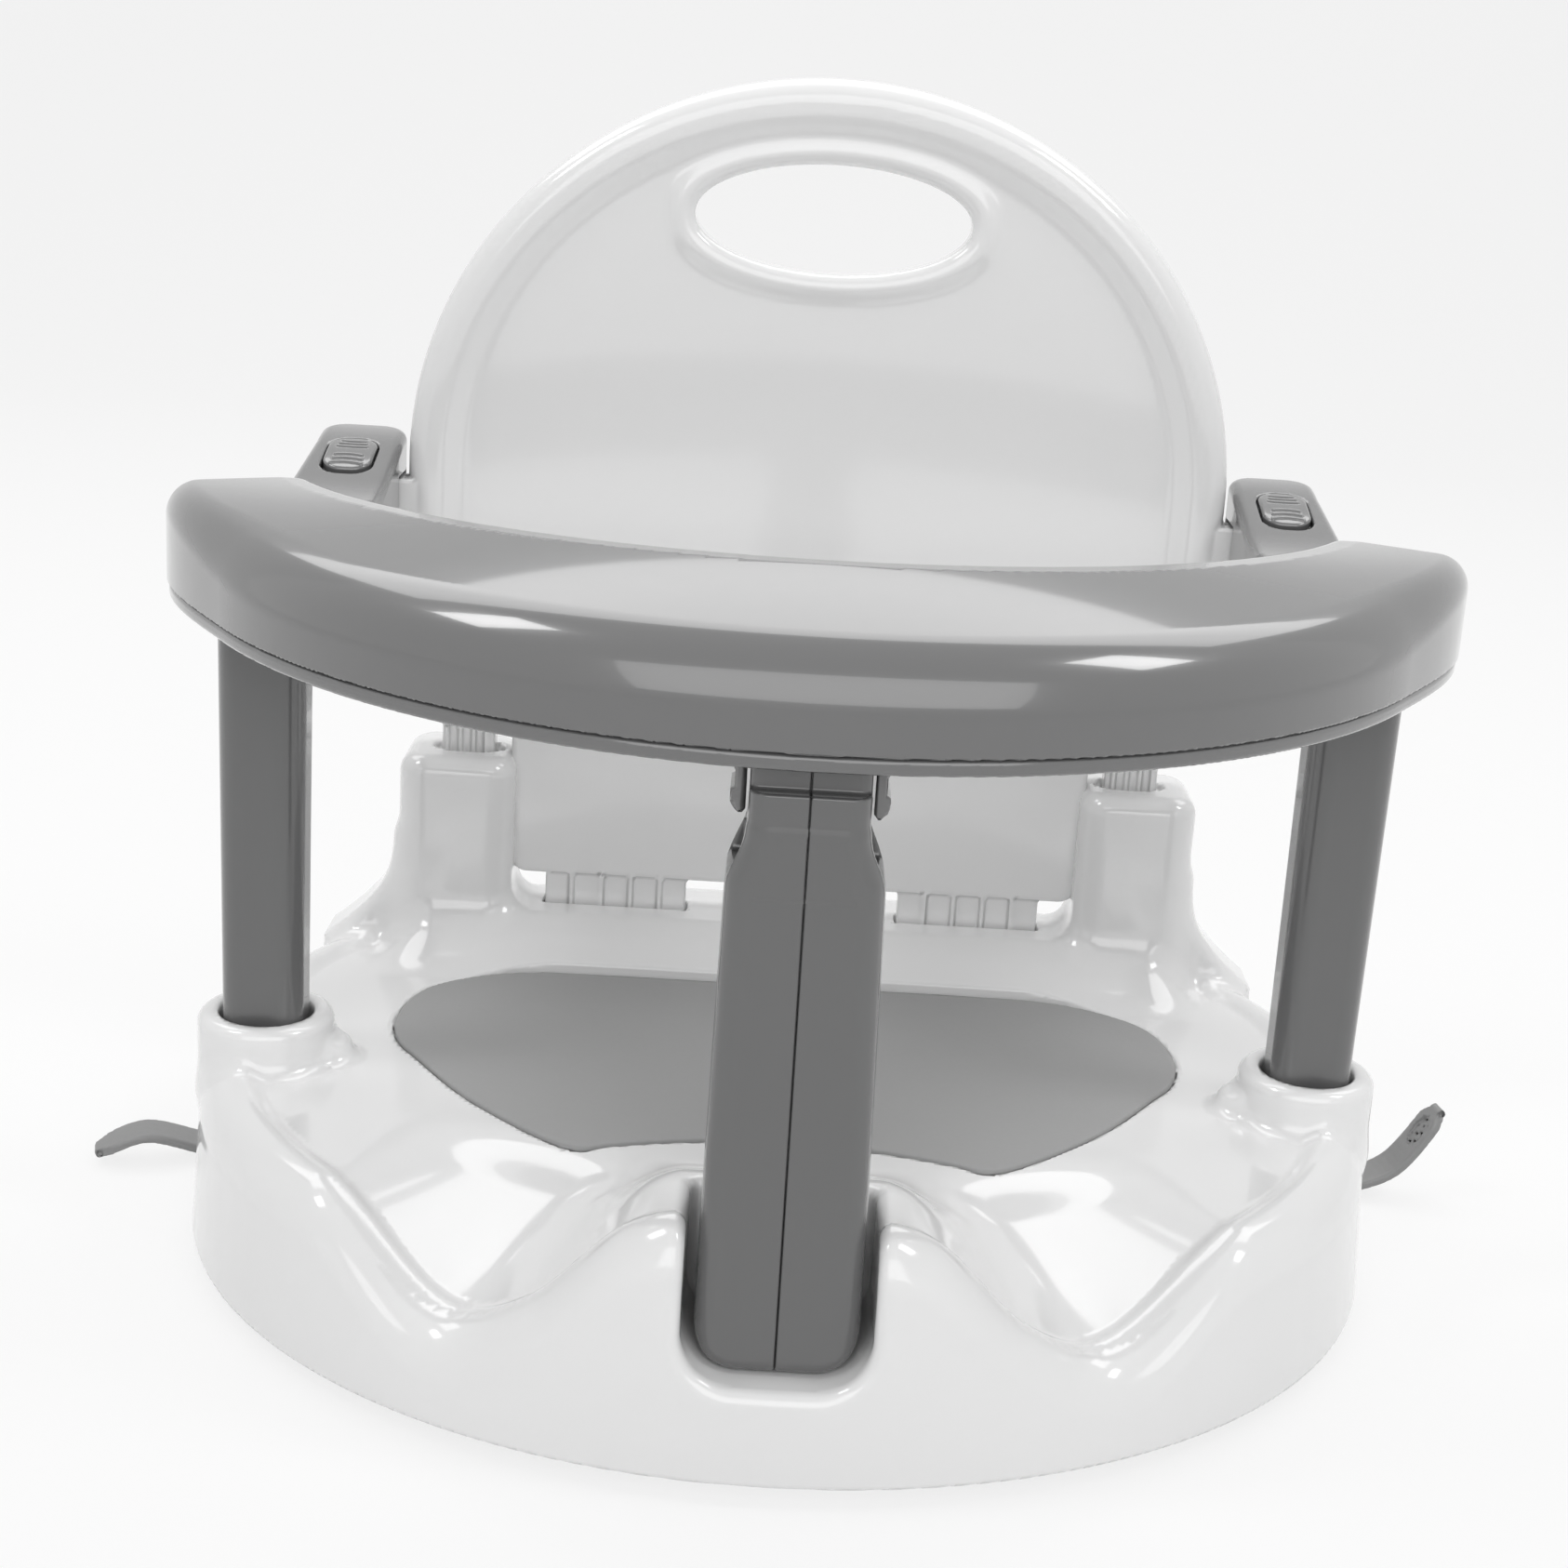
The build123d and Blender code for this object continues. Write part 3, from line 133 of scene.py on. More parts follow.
def ellipse(x, y, a, b):
    """Close to the distance from an ellipse of half sizes a and b."""
    h = np.sqrt((x / a) ** 2 + (y / b) ** 2) + TINY
    g = np.sqrt((x / (a * a)) ** 2 + (y / (b * b)) ** 2) / h + TINY
    return (h - 1) / g


def polygon(x, y, points):
    """Signed distance to a closed polygon."""
    d = np.full(np.shape(x), FAR)
    inside = np.zeros(np.shape(x), bool)
    for (ax, ay), (bx, by) in zip(points, points[1:] + points[:1]):
        ex, ey = bx - ax, by - ay
        wx, wy = x - ax, y - ay
        t = np.clip((wx * ex + wy * ey) / (ex * ex + ey * ey), 0, 1)
        d = np.minimum(d, (wx - ex * t) ** 2 + (wy - ey * t) ** 2)
        crosses = (ay > y) != (by > y)
        slope = ex / (ey if abs(ey) > TINY else TINY)
        inside ^= crosses & (x < ax + (y - ay) * slope)
    return np.where(inside, -1, 1) * np.sqrt(d)


def path_gap(x, y, points):
    """Distance to an open polyline and the share of the way along it."""
    d = np.full(np.shape(x), FAR)
    along = np.zeros(np.shape(x))
    lengths = [sqrt((b[0] - a[0]) ** 2 + (b[1] - a[1]) ** 2) for a, b in zip(points, points[1:])]
    run, total = 0.0, sum(lengths)
    for a, b, length in zip(points, points[1:], lengths):
        ex, ey = b[0] - a[0], b[1] - a[1]
        wx, wy = x - a[0], y - a[1]
        t = np.clip((wx * ex + wy * ey) / (length * length), 0, 1)
        e = (wx - ex * t) ** 2 + (wy - ey * t) ** 2
        nearer = e < d
        d = np.where(nearer, e, d)
        along = np.where(nearer, (run + t * length) / total, along)
        run += length
    return np.sqrt(d), along


def curve_through(points, count, closed=False):
    """Catmull-Rom curve through the given points, with count steps between two of them."""
    p = [np.array(q, float) for q in points]
    n = len(p)
    out = []
    for i in range(n if closed else n - 1):
        a = p[(i - 1) % n] if closed or i > 0 else p[0]
        b, c = p[i], p[(i + 1) % n]
        d = p[(i + 2) % n] if closed or i + 2 < n else p[-1]
        for s in range(count):
            t = s / count
            bend = (2 * a - 5 * b + 4 * c - d) * t * t
            twist = (3 * b - a - 3 * c + d) * t**3
            out.append(tuple(0.5 * (2 * b + (c - a) * t + bend + twist)))
    if not closed:
        out.append(tuple(p[-1]))
    return out


# Meshes from fields

RELAX_ROUNDS = 2
SLOPE_STEP = 0.02
NEARLY_ZERO = 1e-6


def sample(field, low, steps, size):
    """The field's values at the corners of a grid, none of them exactly zero."""
    axes = [low[i] + steps[i] * np.arange(size[i]) for i in range(3)]
    y, z = np.meshgrid(axes[1], axes[2], indexing="ij")
    values = np.empty(size, np.float32)
    for i, x in enumerate(axes[0]):
        values[i] = field(np.full(y.shape, x), y, z)
    values[np.abs(values) < NEARLY_ZERO] = NEARLY_ZERO
    return values


def surface_net(values, low, steps):
    """A point in every cell that the surface crosses, and a quad around every edge it crosses."""
    cells = np.array(values.shape) - 1
    total = int(np.prod(cells))
    sums, count = np.zeros((total, 3)), np.zeros(total)
    quads = []
    for axis in range(3):
        start, stop = [slice(None)] * 3, [slice(None)] * 3
        start[axis], stop[axis] = slice(0, -1), slice(1, None)
        first, second = values[tuple(start)], values[tuple(stop)]
        crossed = np.argwhere((first < 0) != (second < 0))
        if len(crossed) == 0:
            continue
        key = tuple(crossed.T)
        f0, f1 = first[key].astype(float), second[key].astype(float)
        point = low + crossed * steps
        point[:, axis] += f0 / (f0 - f1) * steps[axis]
        u, v = [k for k in range(3) if k != axis]
        ring = []
        for du, dv in ((-1, -1), (0, -1), (0, 0), (-1, 0)):
            cell = crossed.copy()
            cell[:, u] += du
            cell[:, v] += dv
            index = (cell[:, 0] * cells[1] + cell[:, 1]) * cells[2] + cell[:, 2]
            ring.append(index)
            for k in range(3):
                sums[:, k] += np.bincount(index, point[:, k], total)
            count += np.bincount(index, minlength=total)
        ring = np.stack(ring, 1)
        flip = (f0 < 0) != (axis == 1)
        ring[~flip] = ring[~flip][:, ::-1]
        quads.append(ring)
    used = np.flatnonzero(count)
    index = np.full(total, -1)
    index[used] = np.arange(len(used))
    return sums[used] / count[used][:, None], index[np.concatenate(quads)]


def slope_at(field, p):
    g = np.empty_like(p)
    for k in range(3):
        ahead, behind = p.copy(), p.copy()
        ahead[:, k] += SLOPE_STEP
        behind[:, k] -= SLOPE_STEP
        g[:, k] = (field(*ahead.T) - field(*behind.T)) / (2 * SLOPE_STEP)
    return g


def unit(g):
    return g / np.maximum(np.linalg.norm(g, axis=1), NEARLY_ZERO)[:, None]


def settle(field, p, most):
    """Moves the points onto the surface, each by no more than most."""
    g = slope_at(field, p)
    move = -field(*p.T)[:, None] * g / np.maximum((g * g).sum(1), 1e-3)[:, None]
    far = np.linalg.norm(move, axis=1)
    move *= np.minimum(1, most / np.maximum(far, TINY))[:, None]
    return p + move


def relaxed(field, points, quads, most):
    """Evens out the points' spacing along the surface."""
    edges = np.concatenate([quads[:, [0, 1]], quads[:, [1, 2]], quads[:, [2, 3]], quads[:, [3, 0]]])
    number = np.bincount(edges.ravel(), minlength=len(points))
    for _ in range(RELAX_ROUNDS):
        near = np.zeros_like(points)
        for k in range(3):
            near[:, k] = np.bincount(edges[:, 0], points[edges[:, 1], k], len(points))
            near[:, k] += np.bincount(edges[:, 1], points[edges[:, 0], k], len(points))
        mean = near / np.maximum(number, 1)[:, None]
        n = unit(slope_at(field, points))
        move = (mean - points) * 0.5
        move -= (move * n).sum(1)[:, None] * n
        points = settle(field, points + move, most)
    return settle(field, points, most)


def mesh_of(name, field, low, high, step, body, node, material):
    """Meshes the field between two corners, shades it by its slope and puts it in the node's place."""
    steps = (np.array([step] * 3 if np.isscalar(step) else step, float)) * FINE
    low, high = np.array(low, float) - 1.5 * steps, np.array(high, float) + 1.5 * steps
    size = np.ceil((high - low) / steps).astype(int) + 1
    points, quads = surface_net(sample(field, low, steps, size), low, steps)
    most = float(steps.max())
    points = relaxed(field, settle(field, points, most), quads, most)
    normals = unit(slope_at(field, points))
    mesh = bpy.data.meshes.new(name)
    mesh.vertices.add(len(points))
    mesh.vertices.foreach_set("co", (points * MM).astype(np.float32).ravel())
    mesh.loops.add(len(quads) * 4)
    mesh.loops.foreach_set("vertex_index", quads.astype(np.int32).ravel())
    mesh.polygons.add(len(quads))
    mesh.polygons.foreach_set("loop_start", np.arange(0, len(quads) * 4, 4, dtype=np.int32))
    mesh.update(calc_edges=True)
    mesh.validate()
    mesh.polygons.foreach_set("use_smooth", np.ones(len(mesh.polygons), bool))
    mesh.normals_split_custom_set_from_vertices(normals.astype(np.float32))
    piece = bpy.data.objects.new(name, mesh)
    bpy.context.scene.collection.objects.link(piece)
    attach(piece, body)
    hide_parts(node)
    mesh.materials.append(material)


# Materials

COAT_ROUGH, PLASTIC_IOR = 0.06, 1.5
CLOUD_SCALE, CLOUD_DETAIL, GRAIN_DETAIL = 9.0, 4.0, 6.0
GRAIN_DEPTH_M = 0.0002


def plastic(name, colour, rough, coat, grain, bump, vary, scale):
    """Moulded finish whose tint, roughness and relief vary a little over the surface."""
    m = bpy.data.materials.new(name)
    m.use_nodes = True
    nodes, links = m.node_tree.nodes, m.node_tree.links
    shader = nodes["Principled BSDF"]
    shader.inputs["Roughness"].default_value = rough
    shader.inputs["Coat Weight"].default_value = coat
    shader.inputs["Coat Roughness"].default_value = COAT_ROUGH
    shader.inputs["IOR"].default_value = PLASTIC_IOR
    place = nodes.new("ShaderNodeTexCoord")
    cloud = nodes.new("ShaderNodeTexNoise")
    cloud.inputs["Scale"].default_value = CLOUD_SCALE
    cloud.inputs["Detail"].default_value = CLOUD_DETAIL
    links.new(place.outputs["Object"], cloud.inputs["Vector"])
    tint = nodes.new("ShaderNodeMapRange")
    tint.inputs["To Min"].default_value = 1 - vary
    tint.inputs["To Max"].default_value = 1 + vary
    links.new(cloud.outputs["Fac"], tint.inputs["Value"])
    mix = nodes.new("ShaderNodeVectorMath")
    mix.operation = "SCALE"
    mix.inputs[0].default_value = colour
    links.new(tint.outputs["Result"], mix.inputs["Scale"])
    links.new(mix.outputs["Vector"], shader.inputs["Base Color"])
    fine = nodes.new("ShaderNodeTexNoise")
    fine.inputs["Scale"].default_value = scale
    fine.inputs["Detail"].default_value = GRAIN_DETAIL
    links.new(place.outputs["Object"], fine.inputs["Vector"])
    worn = nodes.new("ShaderNodeMapRange")
    worn.inputs["To Min"].default_value = max(0.0, rough - grain)
    worn.inputs["To Max"].default_value = rough + grain
    links.new(fine.outputs["Fac"], worn.inputs["Value"])
    links.new(worn.outputs["Result"], shader.inputs["Roughness"])
    relief = nodes.new("ShaderNodeBump")
    relief.inputs["Strength"].default_value = bump
    relief.inputs["Distance"].default_value = GRAIN_DEPTH_M
    links.new(fine.outputs["Fac"], relief.inputs["Height"])
    links.new(relief.outputs["Normal"], shader.inputs["Normal"])
    return m


# Colour, roughness, coat, spread of roughness, relief, spread of tint and scale of the grain
WHITE = plastic("white_moulding", (0.88, 0.88, 0.88), 0.13, 0.5, 0.03, 0.015, 0.006, 260)
GREY = plastic("grey_moulding", (0.14, 0.14, 0.141), 0.2, 1.0, 0.04, 0.015, 0.02, 260)
DARK = plastic("grey_post", (0.125, 0.125, 0.126), 0.2, 0.6, 0.04, 0.015, 0.02, 260)
MAT = plastic("soft_mat", (0.37, 0.37, 0.37), 0.6, 0.0, 0.08, 0.25, 0.03, 900)
RUBBER = plastic("cup_rubber", (0.25, 0.25, 0.25), 0.42, 0.15, 0.08, 0.08, 0.03, 500)
STEEL = plastic("plated_steel", (0.6, 0.6, 0.6), 0.3, 0.0, 0.08, 0.05, 0.04, 400)
STEEL.node_tree.nodes["Principled BSDF"].inputs["Metallic"].default_value = 1.0
FINISH = {
    "white_plastic": WHITE,
    "grey_plastic": GREY,
    "mat_foam": MAT,
    "cup_rubber": RUBBER,
    "steel": STEEL,
}
for part in frame["record"]["subparts"]:
    node = frame["nodes"][part["node"]]
    node.data.materials.clear()
    node.data.materials.append(FINISH[part["material_slot"]])


# Places that several pieces share
SIDES = {"left": -1, "right": 1}
SIDE_POST_X = 147
CENTER_POST_Y = -112
BACK_Y = 106
PEG_X, TAB_X = 104.5, 56.5
CUP_FRONT, CUP_REAR = (104, -44), (118, 46)
MAT_FLOOR, MAT_TOP = 48.6, 50.5

# Base: outline of the wall
BASE_BOTTOM, WALL_LEAN, WALL_MIDDLE_Y = 5, 0.07, 10
WALL_HALF, WALL_FRONT, WALL_REAR = 167.5, 147.0, 127.0
FRONT_POWER, REAR_POWER = 2.0, 3.1

# Base: pan, where each pair is a range over which a form rises or dies away
PAN_TOP = 50.0
LEDGE_RISE, LEDGE_Y, LEDGE_X = 13, (62, 94), (112, 132)
POMMEL_RISE, POMMEL_Y, POMMEL_X = 16, (52, 100), (24, 60)
SCOOP_ANGLE, SCOOP_MOUTH = radians(21.6), (80, -105)
SCOOP_LENGTH, SCOOP_HALF, SCOOP_DEPTH, SCOOP_RAMP = 66, 46, 23, (0, 0.35)
RIM_RISE, RIM_EDGE, RIM_END_Y = 2.2, (-17, -11), (88, 100)
RIM_ROUND, BOTTOM_ROUND = 12, 1.6
PAN_EASE = 0.93

# Base: towers, collars, sockets and hollow
ROOT_Z = 38
TOWER_X, TOWER_HALF, TOWER_CORNER, TOWER_TOP, TOWER_ROUND = 107, 18, 9, 112.5, 6
FLARE_X, FLARE_HALF, FLARE_REACH, FLARE_LOW, FLARE_RISE, FLARE_TOP = 115, (10, 12), 24.0, 49, 36, 86
COLLAR_RADIUS, COLLAR_TOP, COLLAR_ROUND = 19, 63.5, 3.5
LOBE_X, LOBE_RADIUS, LOBE_TOP, LOBE_ROUND = 130, 7, 56, 2.5
WALL_THICK, PAN_THICK, ROOM_ROUND = 3.8, 4.5, 11
SLEEVE_RADIUS = 15.8
HOUSING_Y, HOUSING_HALF, HOUSING_FLOOR = -116, (25.6, 22.9), 26.3
CUP_BOSS_RADIUS, CUP_BOSS_BOTTOM = 12, 18
KEEL_X, KEEL_HALF, KEEL_BOTTOM = 30, (1.1, 60), 36.2
MOUTH_RADIUS, MOUTH_FLOOR, MOUTH_ROUND = 12.9, 46, 1.8
SOCKET_HALF, SOCKET_CORNER, SOCKET_FLOOR = (11.6, 10.5), 6.5, 20
NOTCH_Z, NOTCH_HALF, NOTCH_CORNER, NOTCH_BACK_Y, NOTCH_ROUND = 79.1, (22.8, 50), 13, -96, 3.5
DIMPLE_HALF, DIMPLE_FLOOR, DIMPLE_ROUND = (11, 6.5), 110, 1.2
PEG_SOCKET_HALF, PEG_SOCKET_FLOOR = (8.6, 4.6), 80
TAB_SLOT_HALF, TAB_SLOT_FLOOR = (22.9, 4.4), 34
SKIN_ROUND = 0.8


def scoop_depth(x, y):
    """Depth of the leg scoops, which run outwards and forwards to their mouths in the rim."""
    ox, oy = sin(SCOOP_ANGLE), -cos(SCOOP_ANGLE)
    u, v = np.abs(x) - SCOOP_MOUTH[0], y - SCOOP_MOUTH[1]
    run, side = u * ox + v * oy, -u * oy + v * ox
    share = (run + SCOOP_LENGTH) / SCOOP_LENGTH
    deep = SCOOP_DEPTH * np.clip(share, 0, 1.0) * step01(*SCOOP_RAMP, share)
    return deep * (1 - step01(0, 1, np.abs(side) / SCOOP_HALF))


def pan_height(x, y):
    """Top of the pan, with the ledge behind and the pommel in front."""
    ledge = LEDGE_RISE * step01(*LEDGE_Y, y) * (1 - step01(*LEDGE_X, np.abs(x)))
    pommel = POMMEL_RISE * step01(*POMMEL_Y, -y) * (1 - step01(*POMMEL_X, np.abs(x)))
    return PAN_TOP + ledge + pommel - scoop_depth(x, y)


def base_wall(x, y, z, inset=0.0):
    """Distance to the leaning wall: half an ellipse in front, squarer at the rear."""
    lean = inset + np.maximum(z - BASE_BOTTOM, 0) * WALL_LEAN
    v = y - WALL_MIDDLE_Y
    a = WALL_HALF - lean
    b = np.where(v < 0, WALL_FRONT, WALL_REAR) - lean
    n = np.where(v < 0, FRONT_POWER, REAR_POWER)
    u, w = np.abs(x) / a + TINY, np.abs(v) / b + TINY
    s = u**n + w**n
    gx = u ** (n - 1) / a * s ** (1 / n - 1)
    gy = w ** (n - 1) / b * s ** (1 / n - 1)
    return (s ** (1 / n) - 1) / np.sqrt(gx * gx + gy * gy + 1e-12)


def tower_field(x, y, z):
    """Square tower whose foot flares towards the outside."""
    ax = np.abs(x)
    d = rect(ax - TOWER_X, y - BACK_Y, TOWER_HALF, TOWER_HALF, TOWER_CORNER)
    d = both(d, z - TOWER_TOP, TOWER_ROUND)
    reach = FLARE_REACH * (1 - np.clip((z - FLARE_LOW) / FLARE_RISE, 0, 1)) ** 2
    flare = rect(ax - FLARE_X - reach / 2, y - BACK_Y, FLARE_HALF[0] + reach / 2, FLARE_HALF[1], 5)
    return soft(d, both(flare, z - FLARE_TOP, 2), 8)


def mat_outline():
    """Outline of the mat, from half of it."""
    half = [(0, 72.5), (60, 72.5), (82, 71), (100, 63), (111, 51), (115, 31), (112, 14)]
    half += [(104, 1), (89, -21), (70, -41), (55, -51), (45, -48), (26, -43), (0, -40)]
    return curve_through(half + [(-x, y) for x, y in half[-2:0:-1]], 6, closed=True)


MAT_LINE = mat_outline()


def base_skin(x, y, z):
    """Outside of the base: pan, rim, towers and collars in one smooth skin."""
    ax = np.abs(x)
    edge = base_wall(x, y, np.full(np.shape(x), PAN_TOP))
    rim = RIM_RISE * step01(*RIM_EDGE, edge) * (1 - step01(*RIM_END_Y, y))
    lid = (z - pan_height(x, y) - rim) * PAN_EASE
    solid = both(base_wall(x, y, z), lid, RIM_ROUND)
    solid = both(solid, BASE_BOTTOM - z, BOTTOM_ROUND)
    solid = either(solid, both(tower_field(x, y, z), ROOT_Z - z), 7)
    collar = np.hypot(ax - SIDE_POST_X, y) - COLLAR_RADIUS
    collar = both(collar, np.maximum(z - COLLAR_TOP, ROOT_Z - z), COLLAR_ROUND)
    lobe = np.hypot(ax - LOBE_X, y) - LOBE_RADIUS
    lobe = both(lobe, np.maximum(z - LOBE_TOP, ROOT_Z - z), LOBE_ROUND)
    return either(solid, either(collar, lobe, 3), 5)


def base_room(x, y, z):
    """Hollow underside, around the sleeves, towers, post housing, cup bosses and keels."""
    ax = np.abs(x)
    room = both(base_wall(x, y, z, WALL_THICK), z - pan_height(x, y) + PAN_THICK, ROOM_ROUND)
    room = cut(room, np.hypot(ax - SIDE_POST_X, y) - SLEEVE_RADIUS, 1)
    room = cut(room, both(tower_field(x, y, z), ROOT_Z - z))
    housing = rect(x, y - HOUSING_Y, *HOUSING_HALF)
    room = cut(room, np.maximum(housing, HOUSING_FLOOR - z), 1)
    for cx, cy in (CUP_REAR, CUP_FRONT):
        boss = np.hypot(ax - cx, y - cy) - CUP_BOSS_RADIUS
        room = cut(room, np.maximum(boss, CUP_BOSS_BOTTOM - z))
    keel = rect(np.abs(ax - KEEL_X) - KEEL_X, y - WALL_MIDDLE_Y, *KEEL_HALF)
    return cut(room, np.maximum(keel, KEEL_BOTTOM - z))


def base_field(x, y, z):
    ax = np.abs(x)
    solid = cut(base_skin(x, y, z), base_room(x, y, z))
    # Sockets of the side posts
    mouth = both(np.hypot(ax - SIDE_POST_X, y) - MOUTH_RADIUS, MOUTH_FLOOR - z)
    solid = cut(solid, mouth, MOUTH_ROUND)
    socket = rect(ax - SIDE_POST_X, y, *SOCKET_HALF, SOCKET_CORNER)
    solid = cut(solid, np.maximum(socket, SOCKET_FLOOR - z))
    # Pocket of the centre post
    notch = rect(x, z - NOTCH_Z, *NOTCH_HALF, NOTCH_CORNER)
    solid = cut(solid, both(notch, y - NOTCH_BACK_Y, 2), NOTCH_ROUND)
    # Towers' dimples and the sockets in them
    dimple = ellipse(ax - PEG_X, y - BACK_Y, *DIMPLE_HALF)
    solid = cut(solid, both(dimple, DIMPLE_FLOOR - z, 1), DIMPLE_ROUND)
    socket = rect(ax - PEG_X, y - BACK_Y, *PEG_SOCKET_HALF)
    solid = cut(solid, np.maximum(socket, PEG_SOCKET_FLOOR - z))
    # Slots of the backrest's tabs
    slot = rect(ax - TAB_X, y - BACK_Y, *TAB_SLOT_HALF)
    solid = cut(solid, np.maximum(slot, TAB_SLOT_FLOOR - z), SKIN_ROUND)
    # Recess of the mat, whose outline is worked out only above and close to its floor
    recess = MAT_FLOOR - np.asarray(z, float)
    near = recess < 3
    recess[near] = np.maximum(polygon(x[near], y[near], MAT_LINE) - 0.3, recess[near])
    return cut(solid, recess, SKIN_ROUND)


def mat_field(x, y, z):
    return both(polygon(x, y, MAT_LINE), slab(z, MAT_FLOOR, MAT_TOP), 0.7)


mesh_of(
    "base_moulding",
    base_field,
    (-168, -137, 4),
    (168, 137.5, 113),
    (1.6, 1.6, 1.35),
    "base",
    "base_shell",
    WHITE,
)
mesh_of(
    "mat_pad",
    mat_field,
    (-116, -52, 48),
    (116, 74, 51),
    (1.5, 1.5, 0.5),
    "base",
    "seat_mat",
    MAT,
)


# Centre post
POST_FOOT, POST_SHOULDER, NECK_HALF = 20.8, 18.4, 13.9
TAPER_LOW, TAPER_HIGH, NECK_START, POST_TOP, NECK_TOP = 53, 150, 166, 166, 192
POST_HALF_DEPTH, POST_CORNER = 14, 6
FOOT_Z, FOOT_HALF, FOOT_CORNER = 129.4, 100, 12
PLATE_Y, PLATE_HALF, PLATE_TOP = -113, 13, 174.0
CATCH_X, CATCH_HALF, CATCH_BOTTOM = 14.2, 9, 153.2
SEAM_GAP, SEAM_ROUND = 0.05, 0.22


def post_width(z):
    """Half width of the post at a height: a slow taper, then a shoulder that narrows to the neck."""
    slow = POST_FOOT - (z - TAPER_LOW) * (POST_FOOT - POST_SHOULDER) / (TAPER_HIGH - TAPER_LOW)
    t = step01(TAPER_HIGH, NECK_START, z)
    shoulder = POST_SHOULDER * (1 - t) + NECK_HALF * t
    return np.where(z < TAPER_HIGH, np.minimum(slow, POST_FOOT), shoulder)


def post_field(side):
    def field(x, y, z):
        sx, v = side * x, y - CENTER_POST_Y
        d = both((sx - post_width(z)) * 0.99, np.abs(v) - POST_HALF_DEPTH, POST_CORNER)
        d = both(d, rect(sx, z - FOOT_Z, POST_FOOT, FOOT_HALF, FOOT_CORNER), 3)
        d = both(d, z - POST_TOP, 1.5)
        neck = both(rect(sx, v, NECK_HALF, 10, 3), z - NECK_TOP, 1)
        plate = both(rect(sx, y - PLATE_Y, NECK_HALF, PLATE_HALF, 5), z - PLATE_TOP, 0.5)
        d = either(d, np.maximum(np.minimum(neck, plate), TAPER_HIGH - z), 1.5)
        catch = np.maximum(CATCH_X - sx, np.abs(v) - CATCH_HALF)
        d = cut(d, both(catch, CATCH_BOTTOM - z, 1), 0.8)
        return both(d, SEAM_GAP - sx, SEAM_ROUND)

    return field


for name, side in SIDES.items():
    mesh_of(
        f"post_moulding_{name}",
        post_field(side),
        (min(0, side * 21), -126.5, 29),
        (max(0, side * 21), -97.5, 192.5),
        (0.55, 0.8, 1.3),
        "base",
        f"center_post_{name}_half",
        DARK,
    )


# Guard bar
BAR_OUT_Y, BAR_OUT_RADIUS, BAR_END_GAIN, BAR_GAIN_Y = 46, 175, 4.5, (-45, 6)
BAR_IN_Y, BAR_IN_RADIUS = 73, 150
BAR_END_Y, BAR_OUT_CORNER, BAR_IN_CORNER = 12, 9, 8
BAR_BOTTOM, BAR_EASE = 184.1, 0.95
LID_ROUND, LID_ROUND_LOSS, LID_LOSS_Y, INNER_ROUND = 12, 3.5, (-60, 0), 5.5
CREST_Y, CREST_RADIUS, CREST_TOP, CREST_FROM_Y = 69, 158, 218, -77
CREST_TILT = radians(3)
EDGE_TOP, EDGE_GAIN, EDGE_GAIN_Y = 205.5, 5.5, (-75, 5)
COVER_BOTTOM, COVER_TOP, COVER_INSET, COVER_ROUND = 180, 184, 0.6, 1.2
COVER_HOLE_HALF = (14.2, 10.4)
CLIP_BOTTOM, CLIP_TOP, CLIP_IN, CLIP_HALF = 167, 181, 14.5, 7
HOOK_TOP, HOOK_OUT, CLIP_OUT, HOOK_LEAD_Z, CLIP_ROOT_Z = 172.6, 18.1, 17.2, 169.4, 177


def bar_sides(x, y):
    """Distances to the bar's outer edge, inner edge and ends."""
    reach = BAR_OUT_RADIUS + BAR_END_GAIN * step01(*BAR_GAIN_Y, y)
    out = np.hypot(x, y - BAR_OUT_Y) - reach
    return out, BAR_IN_RADIUS - np.hypot(x, y - BAR_IN_Y), y - BAR_END_Y


def bar_top_height(x, y):
    """Top of the bar, which rises from its outer edge to a crest near its inner edge."""
    edge = -bar_sides(x, y)[0]
    to_crest = np.maximum(np.hypot(x, y - CREST_Y) - CREST_RADIUS, 0)
    s = np.clip(edge / np.maximum(edge + to_crest, 1e-6), 0, 1)
    crest = CREST_TOP - tan(CREST_TILT) * (y - CREST_FROM_Y)
    low = EDGE_TOP + EDGE_GAIN * step01(*EDGE_GAIN_Y, y)
    return low + (crest - low) * s


def bar_field(x, y, z):
    out, inner, end = bar_sides(x, y)
    lid = (z - bar_top_height(x, y)) * BAR_EASE
    d = both(both(out, end, BAR_OUT_CORNER), lid, LID_ROUND - LID_ROUND_LOSS * step01(*LID_LOSS_Y, y))
    d = both(d, both(inner, end, BAR_IN_CORNER), INNER_ROUND)
    return both(d, BAR_BOTTOM - z, 0.7)


def cover_field(x, y, z):
    """Cover of the bar with its hole for the post and two snap clips."""
    ax, v = np.abs(x), np.abs(y - CENTER_POST_Y)
    out, inner, end = bar_sides(x, y)
    plan = both(both(out, end, BAR_OUT_CORNER), both(inner, end, BAR_IN_CORNER)) + COVER_INSET
    d = both(plan, slab(z, COVER_BOTTOM, COVER_TOP), COVER_ROUND)
    d = cut(d, np.maximum(ax - COVER_HOLE_HALF[0], v - COVER_HOLE_HALF[1]))
    face = np.where(z > HOOK_TOP, CLIP_OUT, HOOK_OUT) + np.maximum(z - CLIP_ROOT_Z, 0) * 0.6
    face = face - np.maximum(HOOK_LEAD_Z - z, 0) * 0.67
    clip = np.maximum(np.maximum(CLIP_IN - ax, ax - face), v - CLIP_HALF)
    return np.minimum(d, both(clip, slab(z, CLIP_BOTTOM, CLIP_TOP), 0.5))


